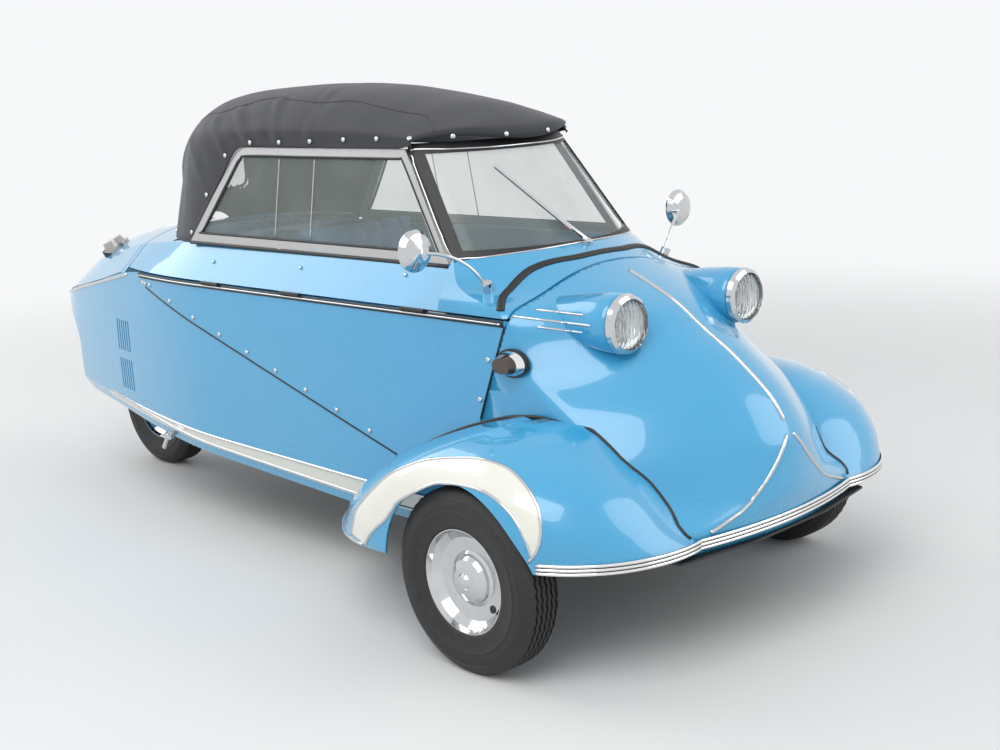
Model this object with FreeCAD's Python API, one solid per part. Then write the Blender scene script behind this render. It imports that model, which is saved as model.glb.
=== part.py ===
import FreeCAD, Part
import math
import os
import time
began = time.time()

os.makedirs("parts", exist_ok=True)

V = FreeCAD.Vector
X = V(1, 0, 0)
Y = V(0, 1, 0)
Z = V(0, 0, 1)

# Frame: +X to the nose, +Y to the car's left, +Z up, ground at z = 0, x = 0 at mid length.

# Overall
carLength = 2820.0
carWidth = 1220.0
carHeight = 1200.0
wheelbase = 2027.0
frontTrack = 1080.0
frontOverhang = 425.0
noseX = carLength / 2
tailX = -carLength / 2
frontAxleX = noseX - frontOverhang
rearAxleX = frontAxleX - wheelbase

# Gaps
seat = 0.3              # between fixed pieces that lie on each other
runGap = 5.0            # round moving panels
pinFit = 0.05           # radial clearance of a pin in its bore

# Wheels
tyreRadius = 200.0
tyreWidth = 100.0
rimRadius = 112.0
rimLip = 8.0
rimWidth = 76.0
hubRadius = 82.0
spindleRadius = 12.5
wheelZ = tyreRadius
steerAngle = 30.0
kingpinInset = 65.0     # kingpin axis inboard of the wheel's middle plane
kingpinRadius = 9.0
kingpinY = frontTrack / 2 - kingpinInset

# Body skin
skin = 8.0
beltZ = 702.0           # parting line of the hinged canopy
beltY = 350.0
sideY = 352.0
cowlX = 913.0           # front edge of the canopy
deckX = -705.0          # rear edge of the canopy
lidX = -740.0            # front edge of the engine lid
lidEndX = -1290.0
panSkin = 5.0
panTopZ = 250.0
panBottomZ = 190.0

canopyLowZ = beltZ + runGap / 2
bodyHighZ = beltZ - runGap / 2


def line(a, b):
    return Part.LineSegment(a, b).toShape()


def arc(a, m, b):
    return Part.Arc(a, m, b).toShape()


def box(x0, x1, y0, y1, z0, z1):
    return Part.makeBox(x1 - x0, y1 - y0, z1 - z0, V(x0, y0, z0))


def rod(a, b, radius):
    axis = b.sub(a)
    return Part.makeCylinder(radius, axis.Length, a, axis)


def fuse(shapes):
    first = shapes[0]
    return first.fuse(shapes[1:]).removeSplitter() if len(shapes) > 1 else first


def mirrored(p):
    return V(p.x, -p.y, p.z)


def mirrorY(shape):
    return shape.mirror(V(0, 0, 0), Y)


def poly(points):
    return Part.makePolygon(points + [points[0]])


def prismXZ(points, y0, y1):
    face = Part.Face(poly([V(x, y0, z) for x, z in points]))
    return face.extrude(V(0, y1 - y0, 0))


def prismXY(points, z0, z1):
    face = Part.Face(poly([V(x, y, z0) for x, y in points]))
    return face.extrude(V(0, 0, z1 - z0))


def prismYZ(points, x0, x1):
    face = Part.Face(poly([V(x0, y, z) for y, z in points]))
    return face.extrude(V(x1 - x0, 0, 0))


def lathe(profile, origin, axis, angle=360.0):
    # profile of (along, radius) points turned about the axis through origin
    side = Z if abs(axis.z) < 0.5 else X
    points = [origin + axis * a + side * r for a, r in profile]
    return Part.Face(poly(points)).revolve(origin, axis, angle)


def save(name, shape):
    solids = [s if s.isValid() else s.fix(0.01, 0.01, 0.01) and s for s in shape.Solids]
    result = solids[0] if len(solids) == 1 else Part.makeCompound(solids)
    result.exportStep("parts/" + name + ".step")
    good = all(s.isValid() and s.Volume > 0 for s in solids)
    b = result.BoundBox
    print("%5.1f" % (time.time() - began), end=" ")
    print("%-24s %2d solid %s %9.0f cm3  x %.0f..%.0f y %.0f..%.0f z %.0f..%.0f"
          % (name, len(solids), "ok" if good else "BAD", result.Volume / 1000,
             b.XMin, b.XMax, b.YMin, b.YMax, b.ZMin, b.ZMax))


# Fuselage: cross sections along x.
# x, bottom z, bottom y, sill z, sill y, belt z, belt y, shoulder z, shoulder y, ridge z
hullTable = [
    (1000.0, 186.0, 330.0, 262.0, 352.0, 702.0, 350.0, 800.0, 301.0, 845.0),
    (350.0, 186.0, 330.0, 262.0, 352.0, 702.0, 350.0, 800.0, 301.0, 845.0),
    (-250.0, 214.0, 330.0, 274.0, 350.0, 702.0, 349.0, 796.0, 296.0, 843.0),
    (-340.0, 219.0, 328.0, 277.0, 348.0, 702.0, 347.5, 794.5, 292.0, 841.0),
    (-440.0, 225.0, 320.0, 280.0, 340.5, 702.5, 340.5, 790.0, 278.0, 836.0),
    (-560.0, 233.0, 306.0, 285.0, 327.0, 701.0, 326.5, 780.0, 254.0, 826.0),
    (-705.0, 245.0, 285.0, 292.0, 306.0, 690.0, 304.0, 765.0, 222.0, 812.0),
    (-930.0, 262.0, 245.0, 302.0, 264.0, 644.0, 264.0, 722.0, 184.0, 780.0),
    (-1125.0, 270.0, 205.0, 308.0, 222.0, 607.0, 223.0, 672.0, 150.0, 730.0),
    (-1260.0, 274.0, 165.0, 312.0, 182.0, 580.0, 184.0, 628.0, 118.0, 672.0),
    (-1360.0, 278.0, 105.0, 316.0, 120.0, 558.0, 124.0, 588.0, 80.0, 608.0),
    (-1410.0, 282.0, 40.0, 320.0, 50.0, 548.0, 54.0, 560.0, 34.0, 566.0),
]
sideBulge = 4.0


def hullPoints(row, inset):
    # right hand points of one cross section, from the bottom edge to the shoulder
    x, zb, yb, zs, ys, zw, yw, zh, yh, zr = row
    zm = (zs + zw) / 2
    ym = (ys + yw) / 2 + sideBulge - inset
    return (V(x, yb - inset, zb), V(x, ys - inset, zs), V(x, ym, zm), V(x, yw - inset, zw),
            V(x, yh - inset, zh - inset * 0.6), V(x, 0, zr - inset))


def sideWire(row):
    # one side wall in section: bottom edge, sill, belt
    o = hullPoints(row, 0.0)
    i = hullPoints(row, skin)
    return Part.Wire([line(o[0], o[1]), arc(o[1], o[2], o[3]), line(o[3], i[3]), arc(i[3], i[2], i[1]),
                      line(i[1], i[0]), line(i[0], o[0])])


def shoulderWire(row):
    # the sloping band between belt and shoulder
    o = hullPoints(row, 0.0)
    i = hullPoints(row, skin)
    return Part.Wire([line(o[3], o[4]), line(o[4], i[4]), line(i[4], i[3]), line(i[3], o[3])])


def deckWire(row):
    # belt to belt over the ridge
    o = hullPoints(row, 0.0)
    i = hullPoints(row, skin)
    flip = lambda p: V(p.x, -p.y, p.z)
    return Part.Wire([line(o[3], o[4]), arc(o[4], o[5], flip(o[4])), line(flip(o[4]), flip(o[3])),
                      line(flip(o[3]), flip(i[3])), line(flip(i[3]), flip(i[4])),
                      arc(flip(i[4]), i[5], i[4]), line(i[4], i[3]), line(i[3], o[3])])


def closedHull(row, inset):
    o = hullPoints(row, inset)
    flip = lambda p: V(p.x, -p.y, p.z)
    low = V(o[0].x, o[0].y - 40, o[0].z - 60)
    return Part.Wire([line(flip(low), low), line(low, o[0]), line(o[0], o[1]), arc(o[1], o[2], o[3]),
                      line(o[3], flip(o[3])), arc(flip(o[3]), flip(o[2]), flip(o[1])), line(flip(o[1]), flip(o[0])),
                      line(flip(o[0]), flip(low))])


straightRows = hullTable[:3]
tailRows = hullTable[2:]


# Nose and cowl: level sections, each with a round front and a flatter arc on each side.
# z, front x on the centre line, front radius, y where that arc ends, x where the side starts to turn in, side y
noseTable = [
    (250.0, 1397.0, 1500.0, 280.0, 1362.0, 353.0),
    (325.0, 1402.5, 1400.0, 280.0, 1360.0, 353.0),
    (423.0, 1395.0, 560.0, 265.0, 1275.0, 353.0),
    (506.0, 1354.0, 380.0, 245.0, 1085.0, 353.0),
    (600.0, 1250.0, 300.0, 228.0, 950.0, 352.0),
    (655.0, 1165.0, 285.0, 212.0, 918.0, 351.0),
    (702.0, 1098.0, 290.0, 195.0, 905.0, 350.0),
    (745.0, 1010.0, 310.0, 180.0, 785.0, 336.0),
    (785.0, 920.0, 320.0, 170.0, 722.0, 314.0),
    (826.0, 835.0, 340.0, 150.0, 690.0, 291.0),
    (860.0, 765.0, 350.0, 135.0, 650.0, 270.0),
]
noseBackX = 420.0
noseSideBulge = 0.06


def noseSection(row, inset, drop=0.0):
    z, xf, radius, yk, xs, ys = row
    xf, xs, ys, yk = xf - inset, xs - inset * 0.5, ys - inset, yk - inset * 0.5
    level = z - drop
    xk = xf - radius + math.sqrt(radius * radius - yk * yk)
    back = V(noseBackX, ys, level)
    turn = V(xs, ys, level)
    knee = V(xk, yk, level)
    front = V(xf, 0, level)
    flip = lambda p: V(p.x, -p.y, p.z)
    out = V(ys - yk, xk - xs, 0)
    out.normalize()
    half = (turn + knee) * 0.5 + out * (noseSideBulge * (knee - turn).Length)
    return Part.Wire([line(back, flip(back)), line(flip(back), flip(turn)), arc(flip(turn), flip(half), flip(knee)),
                      arc(flip(knee), front, knee), arc(knee, half, turn), line(turn, back)])


def noseSolid(inset, drop):
    wires = [noseSection(noseTable[0], inset, drop)] if drop > 0 else []
    wires += [noseSection(r, inset) for r in noseTable]
    return Part.makeLoft(wires, True, False)


# Tail cove under the ducktail, turned about a vertical axis.
coveX = -965.0
coveRadius = 302.0
coveLowZ = 420.0
coveTipZ = 545.0


def coveCutter(inset):
    r0 = coveRadius - inset
    r1 = -coveX + tailX
    r1 = coveX - tailX + 4.0
    a = V(coveX - r0, 0, 100)
    b = V(coveX - r0, 0, coveLowZ)
    m = V(coveX - r0 - (r1 - coveRadius) * 0.28, 0, coveLowZ + (coveTipZ - coveLowZ) * 0.66)
    c = V(coveX - r1 + 0.0 - 20, 0, coveTipZ + inset)
    d = V(coveX - 900, 0, coveTipZ + inset)
    e = V(coveX - 900, 0, 100)
    face = Part.Face(Part.Wire([line(a, b), arc(b, m, c), line(c, d), line(d, e), line(e, a)]))
    half = face.revolve(V(coveX, 0, 0), Z, 90.0)
    other = face.revolve(V(coveX, 0, 0), Z, -90.0)
    return half.fuse(other)



bigY = 900.0
cove = coveCutter(0.0)

# Seams seen from the side
diagBack = (-566.0, 664.0)
diagFront = (538.0, 347.0)
diagSlope = (diagFront[1] - diagBack[1]) / (diagFront[0] - diagBack[0])
seamTop = (914.0, 702.0)
seamLow = (824.0, 473.0)
seamSlope = (seamTop[0] - seamLow[0]) / (seamTop[1] - seamLow[1])


def diagZ(x):
    return diagBack[1] + diagSlope * (x - diagBack[0])


def seamX(z):
    return seamLow[0] + seamSlope * (z - seamLow[1])


def meetX():
    # where the diagonal seam runs into the upright one
    x = diagFront[0]
    for _ in range(30):
        x = seamX(diagZ(x))
    return x


# Nose
noseZone = prismXZ([(cowlX + runGap / 2, 900), (cowlX + runGap / 2, bodyHighZ), (seamX(bodyHighZ) + seat, bodyHighZ),
                    (seamX(panTopZ) + seat, panTopZ + seat), (1500, panTopZ + seat), (1500, 900)],
                   -bigY, bigY)
noseSkin = noseSolid(0.0, 30.0).cut(noseSolid(skin, 40.0))
noseShell = noseSkin.common(noseZone)
save("nose_shell", noseShell)

lampX = 1117.0
lampY = 206.0
lampZ = 691.0
lampRadius = 64.0
podProfile = [(0, 0), (0, lampRadius - 4), (-12, lampRadius), (-80, lampRadius - 4),
              (-160, lampRadius - 14), (-240, lampRadius - 30), (-310, lampRadius - 50), (-330, 0)]
noseFull = noseSolid(-seat, 30.0)
noseProud = noseFull
pods = [lathe(podProfile, V(lampX, side * lampY, lampZ), X).cut(noseFull) for side in (-1, 1)]
save("headlamp_pods", Part.makeCompound([p for pod in pods for p in pod.Solids]))
rimProfile = [(0.3, 0), (0.3, lampRadius - 2), (6, lampRadius + 1), (16, lampRadius - 2), (22, lampRadius - 10),
              (14, lampRadius - 11), (4, lampRadius - 12), (4, 0)]
lensProfile = [(4.3, 0), (4.3, lampRadius - 12.3), (14, lampRadius - 12.3), (24, 30), (27, 0)]
for name, profile in (("headlamp_rims", rimProfile), ("headlamp_lenses", lensProfile)):
    pair = [lathe(profile, V(lampX, side * lampY, lampZ), X).cut(noseFull) for side in (-1, 1)]
    save(name, Part.makeCompound([s for one in pair for s in one.Solids]))

# Side walls: straight beside the cockpit, then drawn in to the tail
straightWall = Part.makeLoft([sideWire(r) for r in straightRows], True, True)
tailWall = Part.makeLoft([sideWire(r) for r in tailRows], True, False)
print("walls", straightWall.isValid(), tailWall.isValid())
seamMeet = (meetX() - seat, diagZ(meetX()) - seat)
diagTop = (diagBack[0] + (bodyHighZ - diagBack[1]) / diagSlope, bodyHighZ)
shift = seat * 0.8
tailZone = prismXZ([(-2000, 0), (seamX(0) - seat, 0), seamMeet, diagTop, (-2000, bodyHighZ)], -bigY, bigY)
panelZone = prismXZ([(seamX(bodyHighZ) - seat, bodyHighZ), (seamMeet[0], seamMeet[1] + shift),
                     (diagTop[0] + shift, diagTop[1])], -bigY, bigY)
panelParts = [w.common(panelZone) for w in (straightWall, tailWall)]
print("panel parts", [len(p.Solids) for p in panelParts], time.time() - began)
leftPanel = fuse(panelParts)
save("side_panel_left", leftPanel)
save("side_panel_right", mirrorY(leftPanel))
tailParts = [w.common(tailZone) for w in (straightWall, tailWall)]
print("tail parts", [len(p.Solids) for p in tailParts], time.time() - began)
tailCorner = V(-1180.0, 0, 300.0)
cornerDrop = 70.0
footCut = Part.Face(Part.Wire([
    line(V(-1500, -bigY, 100), V(-1080, -bigY, 100)), line(V(-1080, -bigY, 100), V(-1080, -bigY, 262)),
    arc(V(-1080, -bigY, 262), V(-1190, -bigY, 300), V(-1262, -bigY, 380)),
    line(V(-1262, -bigY, 380), V(-1500, -bigY, 380)), line(V(-1500, -bigY, 380), V(-1500, -bigY, 100))]))
footCut = footCut.extrude(V(0, 2 * bigY, 0))
leftTail = fuse(tailParts).cut(cove).cut(footCut)
# two banks of upright cooling slots: rear x, low z, slots
louvreBanks = [(-800.0, 452.0, 6), (-800.0, 334.0, 6)]
louvrePitch = 17.0
louvreWidth = 7.0
louvreHeight = 92.0
for rearX, lowZ, count in louvreBanks:
    for k in range(count):
        x = rearX + k * louvrePitch
        leftTail = leftTail.cut(box(x, x + louvreWidth, 150, 400, lowZ, lowZ + louvreHeight))
save("tail_side_left", leftTail)
save("tail_side_right", mirrorY(leftTail))
deckLoft = Part.makeLoft([deckWire(r) for r in tailRows], True, False)
print("deck", deckLoft.isValid(), time.time() - began)
creaseRows = [(r[0], r[5]) for r in hullTable]
lidZone = prismXZ([(x, z + runGap) for x, z in creaseRows] + [(creaseRows[-1][0], 1200), (creaseRows[0][0], 1200)],
                  -bigY, bigY)
lid = deckLoft.common(box(lidEndX, lidX, -bigY, bigY, 0, 1000)).common(lidZone)
save("engine_lid", lid)
saddle = deckLoft.common(box(lidX + runGap, deckX - runGap / 2, -bigY, bigY, 0, 1000))
tip = deckLoft.common(box(-1500, lidEndX - runGap, -bigY, bigY, 0, 1000)).cut(cove)
save("tail_deck", Part.makeCompound([saddle.translated(V(0, 0, seat)), tip.translated(V(0, 0, seat))]))
coreLoft = Part.makeLoft([closedHull(r, skin + seat) for r in tailRows[4:]], True, False)
coveWall = coveCutter(seat + panSkin).cut(coveCutter(seat)).common(box(-1500, -1000, -bigY, bigY, 285, coveTipZ - 12))
rearPanel = coveWall.common(coreLoft).cut(footCut)
save("rear_panel", rearPanel)

# Front fenders: level sections of a closed dome, then its inside and the wheel arch are taken away.
# z, rear x, front x, outer y, rear x of the outer side, front x of the outer side
fenderTable = [
    (186.0, 375.0, 1366.0, 597.0, 668.0, 1200.0),
    (262.0, 450.0, 1366.0, 602.0, 690.0, 1204.0),
    (325.0, 540.0, 1352.0, 604.0, 735.0, 1196.0),
    (388.0, 640.0, 1316.0, 598.0, 800.0, 1165.0),
    (440.0, 755.0, 1258.0, 572.0, 868.0, 1118.0),
    (478.0, 865.0, 1180.0, 518.0, 940.0, 1070.0),
    (500.0, 950.0, 1112.0, 448.0, 992.0, 1050.0),
]
fenderFrontZ = 262.0
archRadius = 219.0
archZ = 192.0
cornerBulge = 0.17


def cornerArc(side, foot, out):
    # from the straight outer side to the body, tangent to the side, moved out by out
    across = side.y - foot.y
    along = foot.x - side.x
    radius = (along * along + across * across) / (2 * across)
    centre = V(side.x, side.y - radius, side.z)
    grown = radius + out
    a = V(side.x, side.y + out, side.z)
    reach = math.sqrt(grown * grown - (foot.y - centre.y) ** 2)
    b = V(side.x + math.copysign(reach, along), foot.y, side.z)
    mid = (a - centre) + (b - centre)
    mid.normalize()
    return a, centre + mid * grown, b


def fenderWire(row, inset, inner):
    z, xr, xf, yo, xor_, xof = row
    b, m, a = cornerArc(V(xor_, yo, z), V(xr, sideY, z), -inset)
    c, n, d = cornerArc(V(xof, yo, z), V(xf, sideY, z), -inset)
    foot = V(a.x, inner, z)
    head = V(d.x, inner, z)
    return Part.Wire([line(head, foot), line(foot, a), arc(a, m, b), line(b, c), arc(c, n, d), line(d, head)])


fenderInner = sideY - 4.0
fenderOut = Part.makeLoft([fenderWire(r, 0.0, fenderInner) for r in fenderTable], True, False)
innerRows = [(r[0] - (skin if n else 30.0),) + r[1:] for n, r in enumerate(fenderTable)]
fenderIn = Part.makeLoft([fenderWire(r, skin, fenderInner - 30) for r in innerRows], True, False)
arch = Part.makeCylinder(archRadius, 300, V(frontAxleX - 3, 480, archZ), Y)
archFoot = box(frontAxleX - 3 - archRadius, frontAxleX - 3 + archRadius, 480, 780, 0, archZ)
openFoot = box(300, 1500, fenderInner - 30, sideY + 200, 100, 200)
fenderLeft = fenderOut.cut(fenderIn)
print("fender", fenderOut.isValid(), fenderIn.isValid(), fenderLeft.isValid(), time.time() - began)
fenderLeft = fenderLeft.cut(box(frontAxleX, 1500, 300, 900, 0, fenderFrontZ)).cut(arch).cut(archFoot)


cabSolid = Part.makeLoft([closedHull(r, -seat) for r in straightRows[:2]], True, True)
cabSolid = cabSolid.fuse(Part.makeLoft([closedHull(r, -seat) for r in straightRows[1:]], True, True))
fenderLeft = fenderLeft.cut(noseProud).cut(cabSolid.common(box(-300, 914, -bigY, bigY, 0, 900)))
print("fender pieces", [round(x.Volume) for x in fenderLeft.Solids])
fenderLeft = max(fenderLeft.Solids, key=lambda one: one.Volume)
save("fender_left", fenderLeft)
save("fender_right", mirrorY(fenderLeft))

# Bumper strip round the nose and fender fronts
bumperLowZ = 262.0
bumperHighZ = 286.0
bumperThick = 7.0


def bumperEdges(out):
    z, xr, xf, yo, xor_, xof = fenderTable[1]
    a, m, b = cornerArc(V(xof, yo, bumperLowZ), V(xf, sideY, bumperLowZ), out)
    nose = V(noseTable[1][1] + out, 0, bumperLowZ)
    return [a, m, b, nose, mirrored(b), mirrored(m), mirrored(a)]


outerEdge = bumperEdges(bumperThick)
innerEdge = bumperEdges(-3.0)
bumper = Part.Face(Part.Wire([
    arc(*outerEdge[0:3]), arc(*outerEdge[2:5]), arc(*outerEdge[4:7]), line(outerEdge[6], innerEdge[6]),
    arc(innerEdge[6], innerEdge[5], innerEdge[4]), arc(innerEdge[4], innerEdge[3], innerEdge[2]),
    arc(innerEdge[2], innerEdge[1], innerEdge[0]), line(innerEdge[0], outerEdge[0])]))
bumper = bumper.extrude(V(0, 0, bumperHighZ - bumperLowZ))
fenderJacket = Part.makeLoft([fenderWire(r, -seat, fenderInner) for r in fenderTable], True, False)
bumper = bumper.cut(fenderJacket).cut(mirrorY(fenderJacket)).cut(noseFull)
bumper = max(bumper.Solids, key=lambda one: one.Volume)
save("bumper_strip", bumper)

# Floor tub between the side walls
panY = sideY - skin - seat - 1.2
axleStep = 6.0          # the floor is this much higher over the axle beam
panRows = [(-560.0, 232.0, 280.0), (350.0, 190.0, 306.0), (920.0, 190.0, 306.0), (940.0, 190.0 + axleStep, 306.0),
           (1120.0, 190.0 + axleStep, 306.0), (1290.0, 236.0, 210.0)]


def panWire(row, inset, top):
    x, zb, yb = row
    yt = yb + 14
    return poly([V(x, -yt + inset, top), V(x, -yb + inset, zb + inset), V(x, yb - inset, zb + inset),
                 V(x, yt - inset, top)])


def panLoft(inset, top, shrink):
    rows = [(panRows[0][0] + shrink,) + panRows[0][1:]] + panRows[1:-1]
    rows += [(panRows[-1][0] - shrink,) + panRows[-1][1:]]
    return Part.makeLoft([panWire(r, inset, top) for r in rows], True, True)


tub = panLoft(0.0, panTopZ, 0.0).cut(panLoft(panSkin, panTopZ + 10, panSkin))
seamLowX = seamX(panTopZ)
rimPlate = prismXY([(-560, -299), (-250, -330.5), (350, -338.6), (seamLowX + 2, -338.6), (seamLowX + 2, -349), (1300, -349),
                    (1358, -330), (1390, -130), (1390, 130), (1358, 330), (1300, 349), (seamLowX + 2, 349),
                    (seamLowX + 2, 338.6), (350, 338.6), (-250, 330.5), (-560, 299)], panTopZ - panSkin, panTopZ)
tub = tub.fuse(rimPlate.cut(panLoft(panSkin, panTopZ + 10, panSkin)))
save("floor_tub", tub)

# Canopy base: the sloping band round the cockpit, the cowl and the rear deck
cockpitBackX = -500.0
screenLow = (707.0, 301.0, 806.0)     # corner x, corner y, z
screenHigh = (534.0, 253.0, 1042.0)
screenLowMidX = 846.0
screenHighMidX = 652.0
glass = 5.0


def screenAt(z):
    t = (z - screenLow[2]) / (screenHigh[2] - screenLow[2])
    return (screenLow[0] + t * (screenHigh[0] - screenLow[0]), screenLow[1] + t * (screenHigh[1] - screenLow[1]),
            screenLowMidX + t * (screenHighMidX - screenLowMidX))


def screenFace(z, outer, back, spread=0.0):
    xc, yc, xm = screenAt(z)
    a = V(xc + outer * 0.6, -yc - spread, z)
    b = V(xm + outer, 0, z)
    c = V(xc + outer * 0.6, yc + spread, z)
    d = V(xc + back * 0.6, yc + spread, z)
    e = V(xm + back, 0, z)
    f = V(xc + back * 0.6, -yc - spread, z)
    return Part.Wire([arc(a, b, c), line(c, d), arc(d, e, f), line(f, a)])


def screenBand(z0, z1, outer, back, spread=0.0):
    return Part.makeLoft([screenFace(z0, outer, back, spread), screenFace(z1, outer, back, spread)], True, True)


frameBandLow = 18.0
cockpitCut = prismXY([(cockpitBackX, -262), (-250, -285), (700, -291), (700, 291), (-250, 285), (cockpitBackX, 262)],
                     canopyLowZ - 100, 1200)
band = Part.makeLoft([shoulderWire(r) for r in straightRows], True, True)
bandZone = box(-250.0, 700.0, 0, bigY, canopyLowZ, 1200)
leftBand = band.common(bandZone)
cowl = noseSkin.common(box(700.0, cowlX - runGap / 2, -bigY, bigY, canopyLowZ, 1200))
xc, yc, xm = screenAt(800.0)
cowlHole = Part.Face(Part.Wire([line(V(600, -yc + 6, 700), V(xc - 30, -yc + 6, 700)),
                                arc(V(xc - 30, -yc + 6, 700), V(xm - 24, 0, 700), V(xc - 30, yc - 6, 700)),
                                line(V(xc - 30, yc - 6, 700), V(600, yc - 6, 700)),
                                line(V(600, yc - 6, 700), V(600, -yc + 6, 700))])).extrude(V(0, 0, 400))
above = box(600, 1000, -bigY, bigY, 836, 1200)
cowl = cowl.cut(cowlHole).cut(above)
deckPart = deckLoft.common(box(deckX + runGap / 2, -250, -bigY, bigY, canopyLowZ, 1200)).cut(cockpitCut)
print("deck part", len(deckPart.Solids), "band", len(leftBand.Solids))
base = fuse([deckPart, leftBand, mirrorY(leftBand), cowl])
save("canopy_base", base)

# Windscreen
bandFull = screenBand(806, 1064, 8.0, -12.0)
aperture = Part.Face(poly([V(0, -279, 830), V(0, 279, 830), V(0, 236, 1040), V(0, -236, 1040)])).extrude(V(1500, 0, 0))
pane = Part.Face(poly([V(0, -279 + seat, 830 + seat), V(0, 279 - seat, 830 + seat), V(0, 236 - seat, 1040 - seat),
                       V(0, -236 + seat, 1040 - seat)])).extrude(V(1500, 0, 0))
screenFrame = bandFull.cut(aperture)
screenFrame = screenFrame.cut(noseFull)
save("windscreen_frame", screenFrame)
save("windscreen_glass", screenBand(820, 1050, 1.0, -4.0).common(pane))

# Side windows
sideLow = (300.0, 801.5)     # y, z
sideHigh = (258.0, 1052.0)
sideFrame = 10.0
frameWidth = 22.0
cornerRadius = 70.0


def sideSlab(y0, y1):
    pts = [(sideLow[0] + y0, sideLow[1]), (sideLow[0] + y1, sideLow[1]), (sideHigh[0] + y1, sideHigh[1]),
           (sideHigh[0] + y0, sideHigh[1])]
    return Part.Face(poly([V(-900, y, z) for y, z in pts])).extrude(V(2000, 0, 0))


def roundedOutline(points, radius):
    # polygon in x and z with every rear corner rounded
    wire = []
    n = len(points)
    ends = []
    for k in range(n):
        p, c, q = points[k - 1], points[k], points[(k + 1) % n]
        r = radius if c[2] else 0.0
        pc = V(p[0] - c[0], 0, p[1] - c[1])
        qc = V(q[0] - c[0], 0, q[1] - c[1])
        half = pc.getAngle(qc) / 2
        cv = V(c[0], 0, c[1])
        if r == 0:
            ends.append((cv, None, cv))
            continue
        cut = r / math.tan(half)
        pc.normalize()
        qc.normalize()
        mid = pc + qc
        mid.normalize()
        centre = cv + mid * (r / math.sin(half))
        ends.append((cv + pc * cut, centre - mid * r, cv + qc * cut))
    for k in range(n):
        a = ends[k]
        b = ends[(k + 1) % n]
        if a[1]:
            wire.append(arc(a[0], a[1], a[2]))
        wire.append(line(a[2], b[0]))
    return Part.Face(Part.Wire(wire)).extrude(V(0, 600, 0))


def inset(points, d):
    # the same outline moved in by d on every side
    out = []
    n = len(points)
    for k in range(n):
        p, c, q = [V(t[0], 0, t[1]) for t in (points[k - 1], points[k], points[(k + 1) % n])]
        u = c.sub(p)
        w = q.sub(c)
        u.normalize()
        w.normalize()
        nu = V(-u.z, 0, u.x)
        nw = V(-w.z, 0, w.x)
        m = nu + nw
        m = m * (1.0 / (m.dot(m) / 2.0))
        out.append((c.x + m.x * d, c.z + m.z * d, points[k][2]))
    return out


sideOutline = [(-345.0, 801.5, 0), (690.0, 801.5, 0), (516.0, 1052.0, 0), (-150.0, 1052.0, 1)]
outlineIn = inset(sideOutline, frameWidth)
sideWindow = roundedOutline(sideOutline, cornerRadius).cut(roundedOutline(outlineIn, cornerRadius - frameWidth))
sideWindow = sideWindow.common(sideSlab(-sideFrame, 0.0))
save("side_frames", Part.makeCompound([sideWindow, mirrorY(sideWindow)]))
paneLeft = roundedOutline(inset(sideOutline, frameWidth + seat), cornerRadius - frameWidth - seat)
paneLeft = paneLeft.common(sideSlab(-7.0, -3.0))
save("side_glass", Part.makeCompound([paneLeft, mirrorY(paneLeft)]))

# Soft top: thin arched sections along x.
# x, skirt z, skirt y, rail z, rail y, crown z
topTable = [
    (700.0, 1040.0, 262.0, 1064.0, 262.0, 1066.0),
    (600.0, 900.0, 285.0, 1063.0, 262.0, 1104.0),
    (470.0, 860.0, 290.0, 1062.0, 263.0, 1148.0),
    (240.0, 802.0, 301.0, 1060.0, 264.0, 1188.0),
    (16.0, 802.0, 301.0, 1058.0, 264.0, 1200.0),
    (-220.0, 800.0, 299.0, 1052.0, 264.0, 1193.0),
    (-400.0, 796.0, 287.0, 1034.0, 258.0, 1170.0),
    (-500.0, 792.0, 268.0, 1010.0, 244.0, 1142.0),
    (-580.0, 788.0, 238.0, 965.0, 216.0, 1090.0),
    (-635.0, 786.0, 198.0, 896.0, 172.0, 990.0),
    (-668.0, 785.0, 150.0, 822.0, 122.0, 842.0),
]
clothThick = 7.0


def topWire(row, deep=0.0, t=clothThick):
    x, zs, ys, zr, yr, zc = row
    ys, yr, zr, zc = ys - deep, yr - deep, zr - deep * 0.4, zc - deep
    o = [V(x, ys, zs), V(x, yr, zr), V(x, 0, zc), V(x, -yr, zr), V(x, -ys, zs)]
    i = [V(x, -ys + t, zs), V(x, -yr + t, zr - t * 0.4), V(x, 0, zc - t), V(x, yr - t, zr - t * 0.4), V(x, ys - t, zs)]
    return Part.Wire([line(o[0], o[1]), arc(o[1], o[2], o[3]), line(o[3], o[4]), line(o[4], i[0]),
                      line(i[0], i[1]), arc(i[1], i[2], i[3]), line(i[3], i[4]), line(i[4], o[0])])


roof = Part.makeLoft([topWire(r) for r in topTable], True, False)
print("roof", roof.isValid(), time.time() - began)
headFace = Part.Face(Part.Wire([arc(V(534 + 14, -420, 0), V(652 + 26, 0, 0), V(534 + 14, 420, 0)),
                                line(V(548, 420, 0), V(1200, 420, 0)), line(V(1200, 420, 0), V(1200, -420, 0)),
                                line(V(1200, -420, 0), V(548, -420, 0))])).extrude(V(0, 0, 1500))
hole = roundedOutline(inset(sideOutline, -seat)[0:1] + [(900.0, 801.5 - seat, 0), (900.0, 1052.3, 0)]
                      + inset(sideOutline, -seat)[3:4], cornerRadius).translated(V(0, 200, 0))
roof = roof.cut(headFace).cut(hole).cut(mirrorY(hole)).cut(screenBand(806, 1064 + 4 * seat, 8.0 + 4 * seat, -12.0 - 4 * seat, 4 * seat))
roof = roof.cut(base.translated(V(0, 0, seat)))
rearHole = prismYZ([(-150, 905), (150, 905), (130, 1050), (-130, 1050)], -900, -450)
roof = roof.cut(rearHole)
roofSolid = max(roof.Solids, key=lambda one: one.Volume)
save("soft_top", roofSolid)
rearPane = Part.makeLoft([topWire(r, 2.0, 3.0) for r in topTable[5:]], True, False)
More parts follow.
